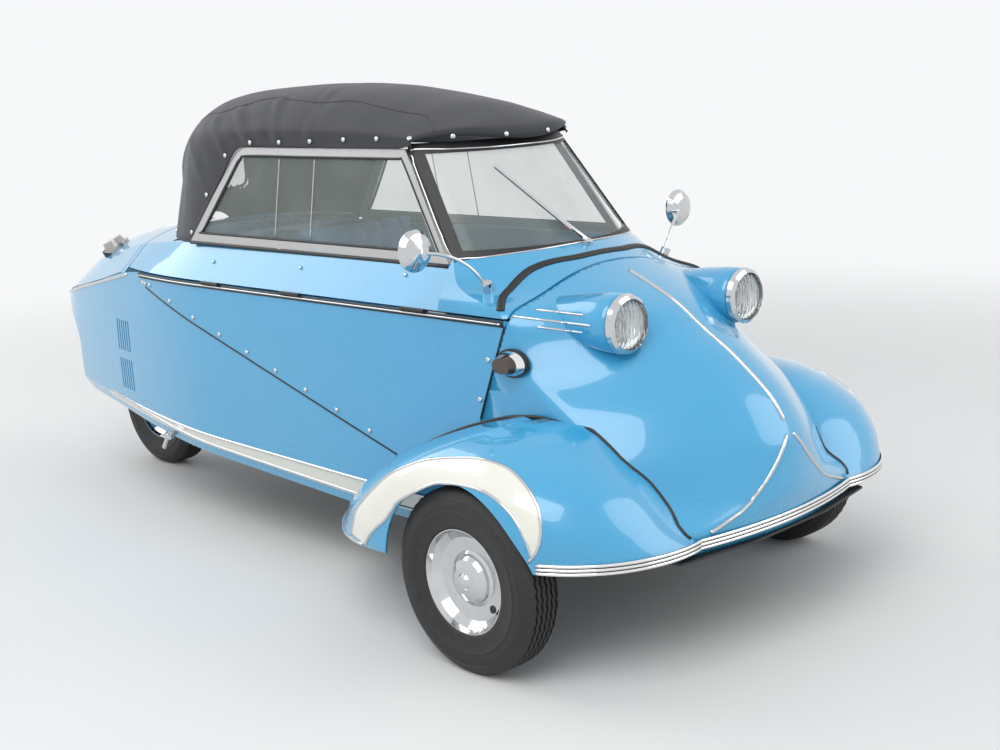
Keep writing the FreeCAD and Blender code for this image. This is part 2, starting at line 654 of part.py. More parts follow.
rearPane = rearPane.common(prismYZ([(-149, 906), (149, 906), (129, 1049), (-129, 1049)], -900, -450))
save("rear_window", max(rearPane.Solids, key=lambda one: one.Volume))

# Wheels: turned about Y, written for a wheel at the origin with its outside towards -Y
def tyreShape():
    r = tyreRadius
    w = tyreWidth / 2
    rr = rimRadius + seat
    beadY = rimWidth / 2 - seat
    half = [(beadY, rr), (beadY, rr + 8), (w - 3, rr + 24), (w, rr + 44), (w - 3, r - 22), (w - 14, r - 5), (18, r)]
    outline = [(-a, b) for a, b in half] + half[::-1]
    return lathe(outline, V(0, 0, 0), Y)


def rimShape(capped):
    w = rimWidth / 2
    r = rimRadius
    face = [(-w, r), (-w, r + rimLip), (-w - 3, r + rimLip), (-w - 3, r - 2), (-w + 8, r - 7), (-w + 22, r - 22),
            (-w + 26, 60), (-w + 22, 54)]
    back = [(-w + 33, 44), (-w + 30, 62), (-w + 27, r - 16), (-w + 30, r - 10), (w - 14, r - 10), (w + 3, r - 2),
            (w + 3, r + rimLip), (w, r + rimLip), (w, r)]
    if capped:
        cup = [(-w + 16, 51), (-w + 9, 44), (-w + 2, 30), (-w, 18), (-w - 5, 14), (-w - 7, 0), (-w + 24, 0), (-w + 24, 30), (-w + 33, 34)]
    else:
        cup = [(-w + 22, 46), (-w + 30, 42), (-w + 30, 30), (-w + 33, 30)]
    out = lathe(face + cup + back, V(0, 0, 0), Y)
    return out


def hubShape(bore):
    w = rimWidth / 2
    out = [(-w + 33.3, bore), (-w + 33.3, 40), (-w + 36, 46), (-w + 40, hubRadius), (-w + 44, hubRadius + 2), (20, hubRadius + 2),
           (20, hubRadius - 5), (6, hubRadius - 5), (2, 40), (2, 24), (20, 24), (20, bore)]
    return lathe(out, V(0, 0, 0), Y)


tyre = tyreShape()
rims = {True: rimShape(True), False: rimShape(False)}
hub = hubShape(spindleRadius + pinFit)
wheels = [("front_right", frontAxleX, -frontTrack / 2, False), ("front_left", frontAxleX, frontTrack / 2, True),
          ("rear", rearAxleX, 0.0, False)]
for name, wx, wy, flip in wheels:
    for piece, shape in (("tyre", tyre), ("rim", rims[name != "rear"]), ("hub", hub)):
        placed = mirrorY(shape) if flip else shape
        save(piece + "_" + name, placed.translated(V(wx, wy, wheelZ)))

# Steering knuckles, right side first: upright, kingpin boss, stub axle and backing plate
stub = rod(V(0, -20, 0), V(0, 55, 0), spindleRadius).translated(V(0, -18, 0))
plateY = 25.5
knuckle = fuse([box(-17, 17, kingpinInset - 14, kingpinInset + 14, -34, 34).translated(V(0, 0, 0)),
                rod(V(0, -8, 0), V(0, kingpinInset, 0), spindleRadius),
                rod(V(0, 27, 0), V(0, kingpinInset - 10, 0), 22),
                rod(V(0, plateY, 0), V(0, plateY + 3, 0), hubRadius)])
kingBore = rod(V(0, kingpinInset, -60), V(0, kingpinInset, 60), kingpinRadius + pinFit)
steerArm = box(-95, -10, kingpinInset - 2, kingpinInset + 12, -30, -20)
knuckle = knuckle.fuse(steerArm).cut(kingBore)
knuckleRight = knuckle.translated(V(frontAxleX, -frontTrack / 2, wheelZ))
save("knuckle_right", knuckleRight)
save("knuckle_left", mirrorY(knuckleRight))

# Front axle: beam under the tub with a fork and kingpin at each end
beamZ = panBottomZ + axleStep - seat - 22.0
beam = rod(V(frontAxleX, -430, beamZ), V(frontAxleX, 430, beamZ), 22.0)
forks = []
for side in (-1, 1):
    y0 = side * kingpinY
    plate = box(frontAxleX - 18, frontAxleX + 18, min(side * 424, side * 440), max(side * 424, side * 440),
                wheelZ - 62, wheelZ + 62)
    low = box(frontAxleX - 16, frontAxleX + 16, min(side * 430, y0 + side * 12), max(side * 430, y0 + side * 12),
              wheelZ - 48, wheelZ - 34 - runGap / 5)
    high = low.translated(V(0, 0, 82 + 2 * runGap / 5 - 0))
    pin = rod(V(frontAxleX, y0, wheelZ - 48), V(frontAxleX, y0, wheelZ + 48), kingpinRadius)
    forks += [plate, low, high, pin]
axle = fuse([beam] + forks)
save("front_axle", axle)

# Rear: rails, swing arm and engine
railZ0 = 214.0
railZ1 = 240.0
armPivotX = -690.0
rails = [box(-880, -560 - seat, side * 140 - 16, side * 140 + 16, railZ0, railZ1) for side in (-1, 1)]
cross = box(armPivotX - 20, armPivotX + 20, -130, 130, railZ0, railZ1)
save("rear_subframe", fuse(rails + [cross, box(-600, -576, -130, 130, railZ0, railZ1)]))
arms = []
for side in (-1, 1):
    arms.append(box(rearAxleX - 24, armPivotX + 24, side * 74 - 10, side * 74 + 10, 200 - 14, 200 + 14))
swing = fuse(arms + [rod(V(rearAxleX, -92, wheelZ), V(rearAxleX, 92, wheelZ), spindleRadius),
                     box(armPivotX - 24, armPivotX + 24, -84, 84, 200 - 14, railZ0 - seat)])
save("swing_arm", swing)
save("engine_block", box(-828, -565, -140, 140, railZ1 + seat, 560))

# Hinges: fixed knuckles carry the pin, the moving barrel turns on it
def hinge(pin, barrel, lengths, fixedLeaf, movingLeaf):
    # built along X about the origin; lengths are half the moving barrel and the whole half length
    mid, end = lengths
    fixed = [rod(V(-end, 0, 0), V(end, 0, 0), pin)]
    for side in (-1, 1):
        a, b = sorted((side * (mid + 0.5), side * end))
        fixed.append(rod(V(a, 0, 0), V(b, 0, 0), barrel))
        fixed.append(box(a, b, fixedLeaf[0], fixedLeaf[1], fixedLeaf[2], fixedLeaf[3]))
    moving = rod(V(-mid, 0, 0), V(mid, 0, 0), barrel).fuse(
        box(-mid, mid, movingLeaf[0], movingLeaf[1], movingLeaf[2], movingLeaf[3]))
    moving = moving.cut(rod(V(-end, 0, 0), V(end, 0, 0), pin + pinFit))
    return fuse(fixed), moving


hingePin = 2.5
hingeBarrel = 4.5
canopyHingeY = -(beltY + 6.0)
fixedLeaf, movingLeaf = hinge(hingePin, hingeBarrel, (18.0, 40.0), (0, 13.0, -2.5 + seat, -0.6),
                              (0, 13.0, 0.6, 2.5 - seat))
places = [V(x, canopyHingeY, beltZ) for x in (620.0, 160.0, -190.0)]
save("canopy_hinge_pins", Part.makeCompound([fixedLeaf.translated(p) for p in places]))
save("canopy_hinge_barrels", Part.makeCompound([movingLeaf.translated(p) for p in places]))

lidHingeZ = 816.0
turn = FreeCAD.Rotation(Z, 90)
lidFixed, lidMoving = hinge(hingePin, hingeBarrel, (14.0, 30.0), (-16.0, 0, -5.0, -3.0), (0, 13.0, -7.2, -3.8))
for piece in (lidFixed, lidMoving):
    piece.Placement = FreeCAD.Placement(V(lidX + runGap / 2, 0, lidHingeZ), turn)
save("lid_hinge_pin", lidFixed)
save("lid_hinge_barrel", lidMoving)

# Cockpit
def floorTopZ(x):
    rise = (panRows[0][1] - panRows[1][1]) / (panRows[1][0] - panRows[0][0])
    return panBottomZ + panSkin + seat + max(panRows[1][0] - x, 0) * rise


frontBase = prismXZ([(40, floorTopZ(40)), (350, floorTopZ(350)), (420, floorTopZ(420)), (420, 330),
                     (40, 330)], -190, 190)
save("front_seat_cushion", box(40, 440, -200, 200, 330.3, 420))
backFace = [(40, 420.3), (140, 420.3), (20, 860), (-40, 850)]
save("front_seat_back", prismXZ(backFace, -195, 195))
rearBase = prismXZ([(-430, floorTopZ(-430)), (-90, floorTopZ(-90)), (-90, 300 - seat),
                    (-430, 300 - seat)], -240, 240)
save("seat_bases", Part.makeCompound([frontBase, rearBase]))
save("rear_seat_cushion", box(-430, -70, -250, 250, 300, 400))
save("rear_seat_back", prismXZ([(-430, 400.3), (-340, 400.3), (-440, 740), (-500, 740)], -230, 230))
save("rear_bulkhead", box(-560, -552, -300, 300, panTopZ + seat, 690))
dashLow = prismXZ([(640, 640), (700, 640), (732, 697), (646, 697)], -beltY + skin + 0.5, beltY - skin - 0.5)
dashHigh = prismXZ([(646, 697), (732, 697), (760, 745), (700, 760), (650, 740)], -280, 280)
save("dashboard", dashLow.fuse(dashHigh))
barCentre = V(560, 0, 640)
foot = box(1000, 1060, -25, 25, panBottomZ + axleStep + panSkin + seat, 236)
column = rod(barCentre, barCentre + V(340, 0, -310) * 1.35, 14).fuse(foot)
save("steering_column", column)
barAxis = V(-340, 0, 310)
barAxis.normalize()
barPlace = FreeCAD.Placement(barCentre, FreeCAD.Rotation(Z, barAxis))
boss = Part.makeBox(44, 60, 22, V(-22, -30, 0.5))
grip = Part.makeBox(20, 340, 16, V(-10, -170, 3.5))
bar = boss.fuse(grip)
bar.Placement = barPlace
save("handlebar", bar)

# Mirrors on curved stems, standing on the cowl
mirrorFoot = V(811.0, 300.0, 766.0)
mirrorHead = V(752.0, 448.0, 853.0)
headProfile = [(-11, 0), (-11, 42), (-8, 46), (-4, 46), (6, 38), (13, 24), (16, 0)]
head = lathe(headProfile, mirrorHead, X)
stemMid = V(798.0, 362.0, 822.0)
stemEnd = mirrorHead + V(6, -8, -6)
stemPath = Part.Wire([arc(mirrorFoot - Z * 20, stemMid, stemEnd)])
tangent = stemPath.Edges[0].tangentAt(stemPath.Edges[0].FirstParameter)
stem = stemPath.makePipe(Part.Face(Part.Wire([Part.Circle(mirrorFoot - Z * 20, tangent, 4.0).toShape()])))
socket = Part.makeCylinder(12.0, 30.0, mirrorFoot - Z * 22, V(0.25, 0.35, 1))
mirror = head.fuse(stem).fuse(socket).cut(noseFull)
mirror = max(mirror.Solids, key=lambda one: one.Volume)
save("mirrors", Part.makeCompound([mirror, mirrorY(mirror)]))

# Wiper: spindle housing on the cowl, arm and blade over the glass
wiperFoot = V(838.0, -10.0, 822.0)
bladeEnds = (V(684.0, -136.0, 1006.0), V(826.0, -40.0, 857.0))
wiperJoint = (bladeEnds[0] + bladeEnds[1]) * 0.5


def bar(a, b, width, depth):
    # flat bar from a to b, its width level
    along = (b - a)
    length = along.Length
    along.normalize()
    place = FreeCAD.Placement(a, FreeCAD.Rotation(Z, along))
    one = Part.makeBox(width, depth, length, V(-width / 2, -depth / 2, 0))
    one.Placement = place
    return one


housing = Part.makeCylinder(11.0, 26.0, wiperFoot - V(0, 0, 14), V(0.5, 0, 1))
armLow = wiperFoot + V(6, 0, 10)
wiper = housing.fuse(bar(armLow, wiperJoint, 6.0, 7.0)).fuse(bar(bladeEnds[0], bladeEnds[1], 6.0, 8.0))
wiper = wiper.cut(noseFull).cut(screenBand(780, 1070, 8.6, -40.0, 0.6))
print("wiper", [round(x.Volume) for x in wiper.Solids])
save("wiper", Part.makeCompound(wiper.Solids))

# Side lamps: an upright oval gasket with a hooded lens, on the side of the nose
sideLampX = 930.0
sideLampZ = 612.0


def ovalPrism(x, z, wide, high, y0, y1, taper=1.0):
    wires = []
    for y, k in ((y0, 1.0), (y1, taper)):
        edge = Part.Ellipse(V(x, y, z), high / 2 * k, wide / 2 * k)
        edge = Part.Ellipse(V(0, 0, 0), high / 2 * k, wide / 2 * k).toShape()
        edge.Placement = FreeCAD.Placement(V(x, y, z), FreeCAD.Rotation(X, Z, Y, "XYZ"))
        wires.append(Part.Wire([edge]))
    return Part.makeLoft(wires, True, True)


gasket = ovalPrism(sideLampX, sideLampZ, 62.0, 88.0, 345.0, 357.0)
hood = ovalPrism(sideLampX, sideLampZ, 56.0, 82.0, 357.0, 390.0, 0.62)
sideLamp = gasket.fuse(hood).cut(noseFull)
sideLamp = max(sideLamp.Solids, key=lambda one: one.Volume)
save("side_lamps", Part.makeCompound([sideLamp, mirrorY(sideLamp)]))


def deckCore(row):
    # closed section under the rear deck, for seating what stands on it
    o = hullPoints(row, -seat)
    low = V(o[3].x, o[3].y, o[3].z - 60)
    return Part.Wire([line(mirrored(low), low), line(low, o[3]), line(o[3], o[4]), arc(o[4], o[5], mirrored(o[4])),
                      line(mirrored(o[4]), mirrored(o[3])), line(mirrored(o[3]), mirrored(low))])


# Tail lamps: a domed lens on a pad, square to the lid
deckSolid = Part.makeLoft([deckCore(r) for r in tailRows], True, False)
tailLampPlace = V(-1050.0, 120.0, 716.0)
tailLampUp = V(-0.256, 0.45, 1.0)
lampParts = [Part.makeCylinder(46.0, 30.0, tailLampPlace - tailLampUp * 12, tailLampUp)]
tailLampUp.normalize()
lampParts.append(Part.makeCone(37.0, 31.0, 24.0, tailLampPlace + tailLampUp * 12, tailLampUp))
tailLamp = lampParts[0].fuse(lampParts[1]).cut(deckSolid)
print("tail lamp", [round(x.Volume) for x in tailLamp.Solids])
tailLamp = max(tailLamp.Solids, key=lambda one: one.Volume)
save("tail_lamps", Part.makeCompound([tailLamp, mirrorY(tailLamp)]))

# Exhaust tailpipe from the engine's rear face
pipeY = -116.0
pipeZ = 262.0
pipe = rod(V(-1120, pipeY, pipeZ), V(-828 - seat, pipeY, pipeZ), 15.0)
pipe = pipe.cut(rod(V(-1130, pipeY, pipeZ), V(-1060, pipeY, pipeZ), 12.5))
save("exhaust", pipe)

# Lever latch on the right sill
latchX = -482.0
latchZ = 250.0
latch = rod(V(latchX, -300, latchZ), V(latchX, -349, latchZ - 10), 8.0)
cross = box(latchX - 22, latchX + 22, -353, -343, latchZ - 17, latchZ - 5)
lever = prismXZ([(latchX - 6, latchZ - 10), (latchX + 6, latchZ - 10), (latchX - 24, latchZ - 52),
                 (latchX - 34, latchZ - 46)], -351, -345)
tailCore = Part.makeLoft([closedHull(r, -seat) for r in tailRows], True, False)
latch = latch.fuse(cross).fuse(lever).cut(tailCore)
print("latch", [round(x.Volume) for x in latch.Solids])
save("side_latch", max(latch.Solids, key=lambda one: one.Volume))
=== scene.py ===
import math

import bmesh
import bpy
from mathutils import Matrix, Vector, noise
from mathutils.bvhtree import BVHTree


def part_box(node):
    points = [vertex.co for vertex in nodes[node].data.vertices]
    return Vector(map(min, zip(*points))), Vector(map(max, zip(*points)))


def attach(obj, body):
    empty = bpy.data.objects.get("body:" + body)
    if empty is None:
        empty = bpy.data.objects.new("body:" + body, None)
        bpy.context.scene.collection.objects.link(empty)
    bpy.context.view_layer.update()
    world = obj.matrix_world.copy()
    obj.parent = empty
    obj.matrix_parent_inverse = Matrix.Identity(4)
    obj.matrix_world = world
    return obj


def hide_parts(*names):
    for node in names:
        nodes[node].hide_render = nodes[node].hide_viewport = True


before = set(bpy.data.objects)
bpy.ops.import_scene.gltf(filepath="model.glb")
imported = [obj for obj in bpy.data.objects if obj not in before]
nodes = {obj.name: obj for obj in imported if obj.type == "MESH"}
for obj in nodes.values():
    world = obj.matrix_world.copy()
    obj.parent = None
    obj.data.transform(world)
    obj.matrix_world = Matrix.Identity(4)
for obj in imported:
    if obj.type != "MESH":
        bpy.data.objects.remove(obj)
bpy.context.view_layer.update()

print("stage: frame loaded,", len(nodes), "nodes")

# Where the wheels and the outside of the side walls are, in metres
wheelX, wheelY, wheelZ = ((a + b) / 2 for a, b in zip(*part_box("tyre_front_left")))
rearX = (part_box("tyre_rear")[0][0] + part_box("tyre_rear")[1][0]) / 2
sideY = 0.354

# Camera at the photograph's angle, in metres, degrees and millimetres
shot = {"place": (3.1037, -2.5074, 1.2448), "yaw": 135.77, "pitch": -12.11, "roll": 2.81, "lens": 52.97,
        "sensor": 36.0}
eye = Vector(shot["place"])


# Shader maths: a wrapped socket takes part in plain expressions
class Val:
    def __init__(self, mat, socket):
        self.mat = mat
        self.socket = socket

    def calc(self, operation, *others, swap=False):
        args = [self, *others]
        if swap:
            args.reverse()
        return self.mat.add("ShaderNodeMath", {"operation": operation}, dict(enumerate(args)))

    def __add__(self, other):
        return self.calc("ADD", other)

    __radd__ = __add__

    def __mul__(self, other):
        return self.calc("MULTIPLY", other)

    __rmul__ = __mul__

    def __sub__(self, other):
        return self.calc("SUBTRACT", other)

    def __rsub__(self, other):
        return self.calc("SUBTRACT", other, swap=True)

    def __gt__(self, other):
        return self.calc("GREATER_THAN", other)

    def __lt__(self, other):
        return self.calc("LESS_THAN", other)

    def high(self, other):
        return self.calc("MAXIMUM", other)

    def size(self):
        return self.calc("ABSOLUTE")

    def wave(self):
        return self.calc("SINE")

    def soft(self, start, end):
        # 0 before start, 1 after end
        return self.mat.add("ShaderNodeMapRange", {"interpolation_type": "SMOOTHSTEP"},
                            {"Value": self, "From Min": start, "From Max": end})


class Finish:
    def __init__(self, name, **sockets):
        self.data = bpy.data.materials.new(name)
        self.data.use_nodes = True
        self.tree = self.data.node_tree
        self.tree.nodes.clear()
        self.shader = self.tree.nodes.new("ShaderNodeBsdfPrincipled")
        out = self.tree.nodes.new("ShaderNodeOutputMaterial")
        self.tree.links.new(self.shader.outputs[0], out.inputs[0])
        self.coords = None
        for key, value in sockets.items():
            self.put(key.replace("_", " "), value)

    def put(self, socket, value):
        target = self.shader.inputs[socket]
        if isinstance(value, Val):
            self.tree.links.new(value.socket, target)
        else:
            target.default_value = value

    def add(self, kind, settings, inputs, output=0):
        node = self.tree.nodes.new(kind)
        for key, value in settings.items():
            if key == "stops":
                ramp = node.color_ramp
                while len(ramp.elements) < len(value):
                    ramp.elements.new(0.5)
                for element, (place, colour) in zip(ramp.elements, value):
                    element.position = place
                    element.color = colour
            else:
                setattr(node, key, value)
        for key, value in inputs.items():
            if isinstance(value, Val):
                self.tree.links.new(value.socket, node.inputs[key])
            else:
                node.inputs[key].default_value = value
        return Val(self, node.outputs[output])

    def place(self):
        if self.coords is None:
            self.coords = self.add("ShaderNodeTexCoord", {}, {}, "Object")
        return self.coords

    def axes(self):
        node = self.tree.nodes.new("ShaderNodeSeparateXYZ")
        self.tree.links.new(self.place().socket, node.inputs[0])
        return [Val(self, node.outputs[k]) for k in range(3)]

    def noise(self, scale, detail=3.0, rough=0.5):
        return self.add("ShaderNodeTexNoise", {}, {"Vector": self.place(), "Scale": scale, "Detail": detail,
                                                   "Roughness": rough}, "Fac")

    def mix(self, factor, one, two):
        node = self.tree.nodes.new("ShaderNodeMix")
        node.data_type = "RGBA"
        for key, value in ((0, factor), (6, one), (7, two)):
            if isinstance(value, Val):
                self.tree.links.new(value.socket, node.inputs[key])
            else:
                node.inputs[key].default_value = value
        return Val(self, node.outputs[2])

    def bump(self, height, distance, strength=1.0):
        self.put("Normal", self.add("ShaderNodeBump", {}, {"Height": height, "Distance": distance,
                                                          "Strength": strength}))


def tint(red, green, blue):
    return (red, green, blue, 1.0)


# Finishes
paint = {"blue": tint(0.050, 0.375, 0.66), "deep": tint(0.042, 0.335, 0.60), "cream": tint(0.80, 0.79, 0.71),
         "dust": tint(0.30, 0.27, 0.22), "peel": 900.0, "peelDepth": 0.00012}


def paintFinish(name, mask=None):
    # gloss paint with a faint orange peel, dust low down and an optional cream field
    mat = Finish(name, Metallic=0.0, Coat_IOR=1.5, Coat_Roughness=0.03)
    x, y, z = mat.axes()
    cloud = mat.noise(3.0, 4.0)
    colour = mat.mix(cloud, paint["deep"], paint["blue"])
    if mask:
        colour = mat.mix(mask(mat, x, y, z), colour, paint["cream"])
    speck = mat.noise(220.0, 2.0, 0.7)
    dust = (1 - z.soft(0.17, 0.42)) * speck.soft(0.5, 0.75) * 0.22
    mat.put("Base Color", mat.mix(dust, colour, paint["dust"]))
    mat.put("Roughness", 0.24 + dust * 0.5 + mat.noise(40.0) * 0.05)
    mat.put("Coat Weight", 1 - dust)
    mat.bump(mat.noise(paint["peel"], 1.0), paint["peelDepth"], 0.35)
    return mat.data


arch = {"x": wheelX - 0.003, "z": wheelZ - 0.008, "radius": 0.219}
sill = {"top": 0.262, "low": 0.210, "backEnd": -0.945, "bends": (0.35, -0.25), "topRise": (0.02, 0.0215),
        "lowRise": (0.0467, 0.022)}


def sillEdges(past):
    # the cream band's edges where x lies this far past each of its two bends
    return [sill[key] + past[0] * sill[key + "Rise"][0] + past[1] * sill[key + "Rise"][1]
            for key in ("top", "low")]


def sillMask(mat, x, y, z):
    top, low = sillEdges([(bend - x).high(0.0) for bend in sill["bends"]])
    return (z < top) * (z > low) * (x > sill["backEnd"])


finishes = {}
finishes["paint"] = paintFinish("body paint")
finishes["paintSill"] = paintFinish("body paint with sill band", sillMask)
finishes["cream"] = paintFinish("cream paint", lambda mat, x, y, z: (z > -1.0) * 1.0)


def metalFinish(name, colour, rough, brushed=False):
    mat = Finish(name, Metallic=1.0)
    wear = mat.noise(60.0, 5.0)
    mat.put("Base Color", mat.mix(wear, tint(*colour), tint(*[c * 0.88 for c in colour])))
    mat.put("Roughness", rough + wear * rough * 0.7)
    if brushed:
        streak = mat.add("ShaderNodeMapping", {}, {"Vector": mat.place(), "Scale": (3.0, 900.0, 900.0)})
        lines = mat.add("ShaderNodeTexNoise", {}, {"Vector": streak, "Scale": 1.0, "Detail": 2.0}, "Fac")
        mat.bump(lines, 0.0001, 0.4)
    else:
        mat.bump(mat.noise(500.0, 2.0), 0.00002, 0.3)
    return mat.data


finishes["chrome"] = metalFinish("polished chrome", (0.66, 0.67, 0.68), 0.07)
finishes["aluminium"] = metalFinish("brushed aluminium", (0.56, 0.56, 0.56), 0.30, True)
bumper = {"low": 0.262, "rib": 0.008, "ribs": 3, "proud": 0.0038, "back": 0.005, "groove": 0.0011,
          "along": 200, "across": 24, "endX": 1.192}


def bumperFinish():
    # bright ribs with black rubber in the grooves between them
    mat = Finish("ribbed bumper")
    z = mat.axes()[2]
    wear = mat.noise(60.0, 5.0)
    groove = None
    for k in range(1, bumper["ribs"]):
        line = (z - (bumper["low"] + bumper["rib"] * k)).size() < bumper["groove"]
        groove = line if groove is None else groove.high(line)
    bright = mat.mix(wear, tint(0.88, 0.88, 0.87), tint(0.78, 0.78, 0.77))
    mat.put("Base Color", mat.mix(groove, bright, tint(0.012, 0.012, 0.012)))
    mat.put("Metallic", 1 - groove)
    mat.put("Roughness", 0.12 + groove * 0.4 + wear * 0.06)
    return mat.data


finishes["bumper"] = bumperFinish()
finishes["mirrorGlass"] = metalFinish("bright reflector", (0.93, 0.93, 0.92), 0.02)
finishes["engineMetal"] = metalFinish("cast engine metal", (0.35, 0.35, 0.36), 0.5)


def plainFinish(name, colour, rough, bumpScale, bumpDepth, shade=0.75, **sockets):
    mat = Finish(name, **sockets)
    cloud = mat.noise(bumpScale * 0.1 + 6.0, 4.0)
    mat.put("Base Color", mat.mix(cloud, tint(*colour), tint(*[c * shade for c in colour])))
    mat.put("Roughness", rough + cloud * 0.12)
    mat.bump(mat.noise(bumpScale, 3.0), bumpDepth, 0.6)
    return mat.data


finishes["rubber"] = plainFinish("black rubber", (0.012, 0.012, 0.013), 0.42, 400.0, 0.0001)
finishes["chassis"] = plainFinish("satin black chassis", (0.02, 0.02, 0.021), 0.45, 300.0, 0.0001)
finishes["control"] = plainFinish("black moulded plastic", (0.02, 0.02, 0.02), 0.38, 600.0, 0.00008)


def tyreFinish():
    mat = Finish("tyre rubber")
    cloud = mat.noise(25.0, 5.0)
    dust = mat.noise(90.0, 3.0).soft(0.45, 0.8) * 0.35
    base = mat.mix(cloud, tint(0.011, 0.011, 0.012), tint(0.022, 0.021, 0.021))
    mat.put("Base Color", mat.mix(dust, base, tint(0.07, 0.062, 0.052)))
    mat.put("Roughness", 0.55 + dust * 0.4)
    mat.bump(mat.noise(700.0, 3.0), 0.00015, 0.5)
    return mat.data


finishes["tyre"] = tyreFinish()

cloth = {"colour": tint(0.0115, 0.0125, 0.017), "worn": tint(0.026, 0.027, 0.034), "threads": 1500.0}


def clothFinish():
    # woven canvas on the piece's own map, with broad folds
    mat = Finish("black canvas", Sheen_Weight=0.25, Sheen_Roughness=0.4)
    node = mat.tree.nodes.new("ShaderNodeUVMap")
    uv = Val(mat, node.outputs[0])
    split = mat.tree.nodes.new("ShaderNodeSeparateXYZ")
    mat.tree.links.new(uv.socket, split.inputs[0])
    u, v = Val(mat, split.outputs[0]), Val(mat, split.outputs[1])
    weave = (u * cloth["threads"]).wave() * (v * cloth["threads"]).wave()
    cloud = mat.noise(7.0, 5.0)
    mat.put("Base Color", mat.mix(cloud, cloth["colour"], cloth["worn"]))
    mat.put("Roughness", 0.62 + cloud * 0.2)
    mat.bump(weave * 0.25 + mat.noise(5.0, 2.0) * 4.0, 0.0008, 0.7)
    return mat.data


finishes["canvas"] = clothFinish()


def vinylFinish(name, colour):
    mat = Finish(name, Coat_Weight=0.1, Coat_Roughness=0.3)
    cells = mat.add("ShaderNodeTexVoronoi", {"feature": "DISTANCE_TO_EDGE"},
                    {"Vector": mat.place(), "Scale": 420.0}, "Distance")
    cloud = mat.noise(9.0, 4.0)
    mat.put("Base Color", mat.mix(cloud, tint(*colour), tint(*[c * 0.7 for c in colour])))
    mat.put("Roughness", 0.42 + cloud * 0.15)
    mat.bump(cells.soft(0.0, 0.12), 0.0002, 0.5)
    return mat.data


finishes["seat"] = vinylFinish("seat vinyl", (0.035, 0.16, 0.34))
finishes["dash"] = vinylFinish("tan padded cover", (0.62, 0.16, 0.035))


def glassFinish(name, colour, alpha, rough=0.02):
    # clear pane: mostly see-through with its gloss on top
    mat = Finish(name, Roughness=rough, IOR=1.45, Coat_Weight=0.6, Coat_Roughness=0.02)
    smear = mat.noise(6.0, 5.0).soft(0.45, 0.8)
    mat.put("Base Color", tint(*colour))
    mat.put("Alpha", alpha + smear * 0.05)
    mat.data.surface_render_method = "BLENDED"
    return mat.data


finishes["glass"] = glassFinish("window glass", (0.55, 0.62, 0.58), 0.14)
finishes["rearPane"] = glassFinish("clear flexible pane", (0.5, 0.5, 0.46), 0.22, 0.08)


def lensFinish():
    mat = Finish("fluted lamp glass", Roughness=0.05, IOR=1.5, Transmission_Weight=0.92)
    y = mat.axes()[1]
    mat.put("Base Color", tint(0.93, 0.95, 0.94))
    mat.bump((y * 620.0).wave() * 0.5 + 0.5, 0.0012, 0.8)
    return mat.data


finishes["lens"] = lensFinish()


def lampBodyFinish(name, gasketEnd, lensStart, lensColour):
    # one turned or drawn lamp: gasket against the body, bright hood, dark lens outermost
    mat = Finish(name)
    out = mat.axes()[1].size()
    hood = out > gasketEnd
    lens = out > lensStart
    metal = mat.mix(hood, tint(0.012, 0.012, 0.012), tint(0.85, 0.85, 0.84))
    mat.put("Base Color", mat.mix(lens, metal, tint(*lensColour)))
    mat.put("Metallic", hood * (1 - lens))
    mat.put("Roughness", 0.45 - hood * 0.38)
    mat.put("Coat Weight", lens)
    return mat.data


finishes["sideLamp"] = lampBodyFinish("side lamp", 0.3575, 0.3745, (0.03, 0.012, 0.008))


def tailLampFinish():
    mat = Finish("tail lamp", Coat_Roughness=0.05)
    x, y, z = mat.axes()
    # height over the sloping lid tells the pad from the lens
    level = z + x * 0.256 + y.size() * 0.45
    lens = level > (0.716 - 1.05 * 0.256 + 0.12 * 0.45 + 0.017)
    mat.put("Base Color", mat.mix(lens, tint(0.012, 0.012, 0.012), tint(0.42, 0.40, 0.38)))
    mat.put("Metallic", lens * 0.6)
    mat.put("Roughness", 0.5 - lens * 0.3)
    mat.put("Coat Weight", lens)
    return mat.data


finishes["tailLamp"] = tailLampFinish()

finishOf = {
    "nose_shell": "paint", "headlamp_pods": "paint", "headlamp_rims": "chrome", "headlamp_lenses": "lens",
    "side_panel_left": "paint", "side_panel_right": "paint", "tail_side_left": "paintSill",
    "tail_side_right": "paintSill", "engine_lid": "paint", "tail_deck": "paint", "rear_panel": "paint",
    "fender_left": "paint", "fender_right": "paint", "bumper_strip": "bumper", "floor_tub": "chassis",
    "canopy_base": "paint", "windscreen_frame": "rubber", "windscreen_glass": "glass",
    "side_frames": "aluminium", "side_glass": "glass", "soft_top": "canvas", "rear_window": "rearPane",
    "front_axle": "chassis", "rear_subframe": "chassis", "swing_arm": "chassis",
    "engine_block": "engineMetal", "knuckle_left": "chassis", "knuckle_right": "chassis",
    "canopy_hinge_pins": "rubber", "canopy_hinge_barrels": "rubber", "lid_hinge_pin": "chrome",
    "lid_hinge_barrel": "chrome", "front_seat_cushion": "seat", "front_seat_back": "seat",
    "rear_seat_cushion": "seat", "rear_seat_back": "seat", "seat_bases": "paint", "rear_bulkhead": "paint",
    "dashboard": "dash", "steering_column": "control", "handlebar": "control", "mirrors": "chrome",
    "wiper": "chrome", "side_lamps": "sideLamp", "tail_lamps": "tailLamp", "exhaust": "chrome",
    "side_latch": "chrome"}
for name, node in nodes.items():
    stem = name.split("_")[0]
    key = finishOf.get(name) or {"tyre": "tyre", "rim": "chrome", "hub": "chassis"}[stem]
    node.data.materials.clear()
    node.data.materials.append(finishes[key])
print("stage: finishes on every node")


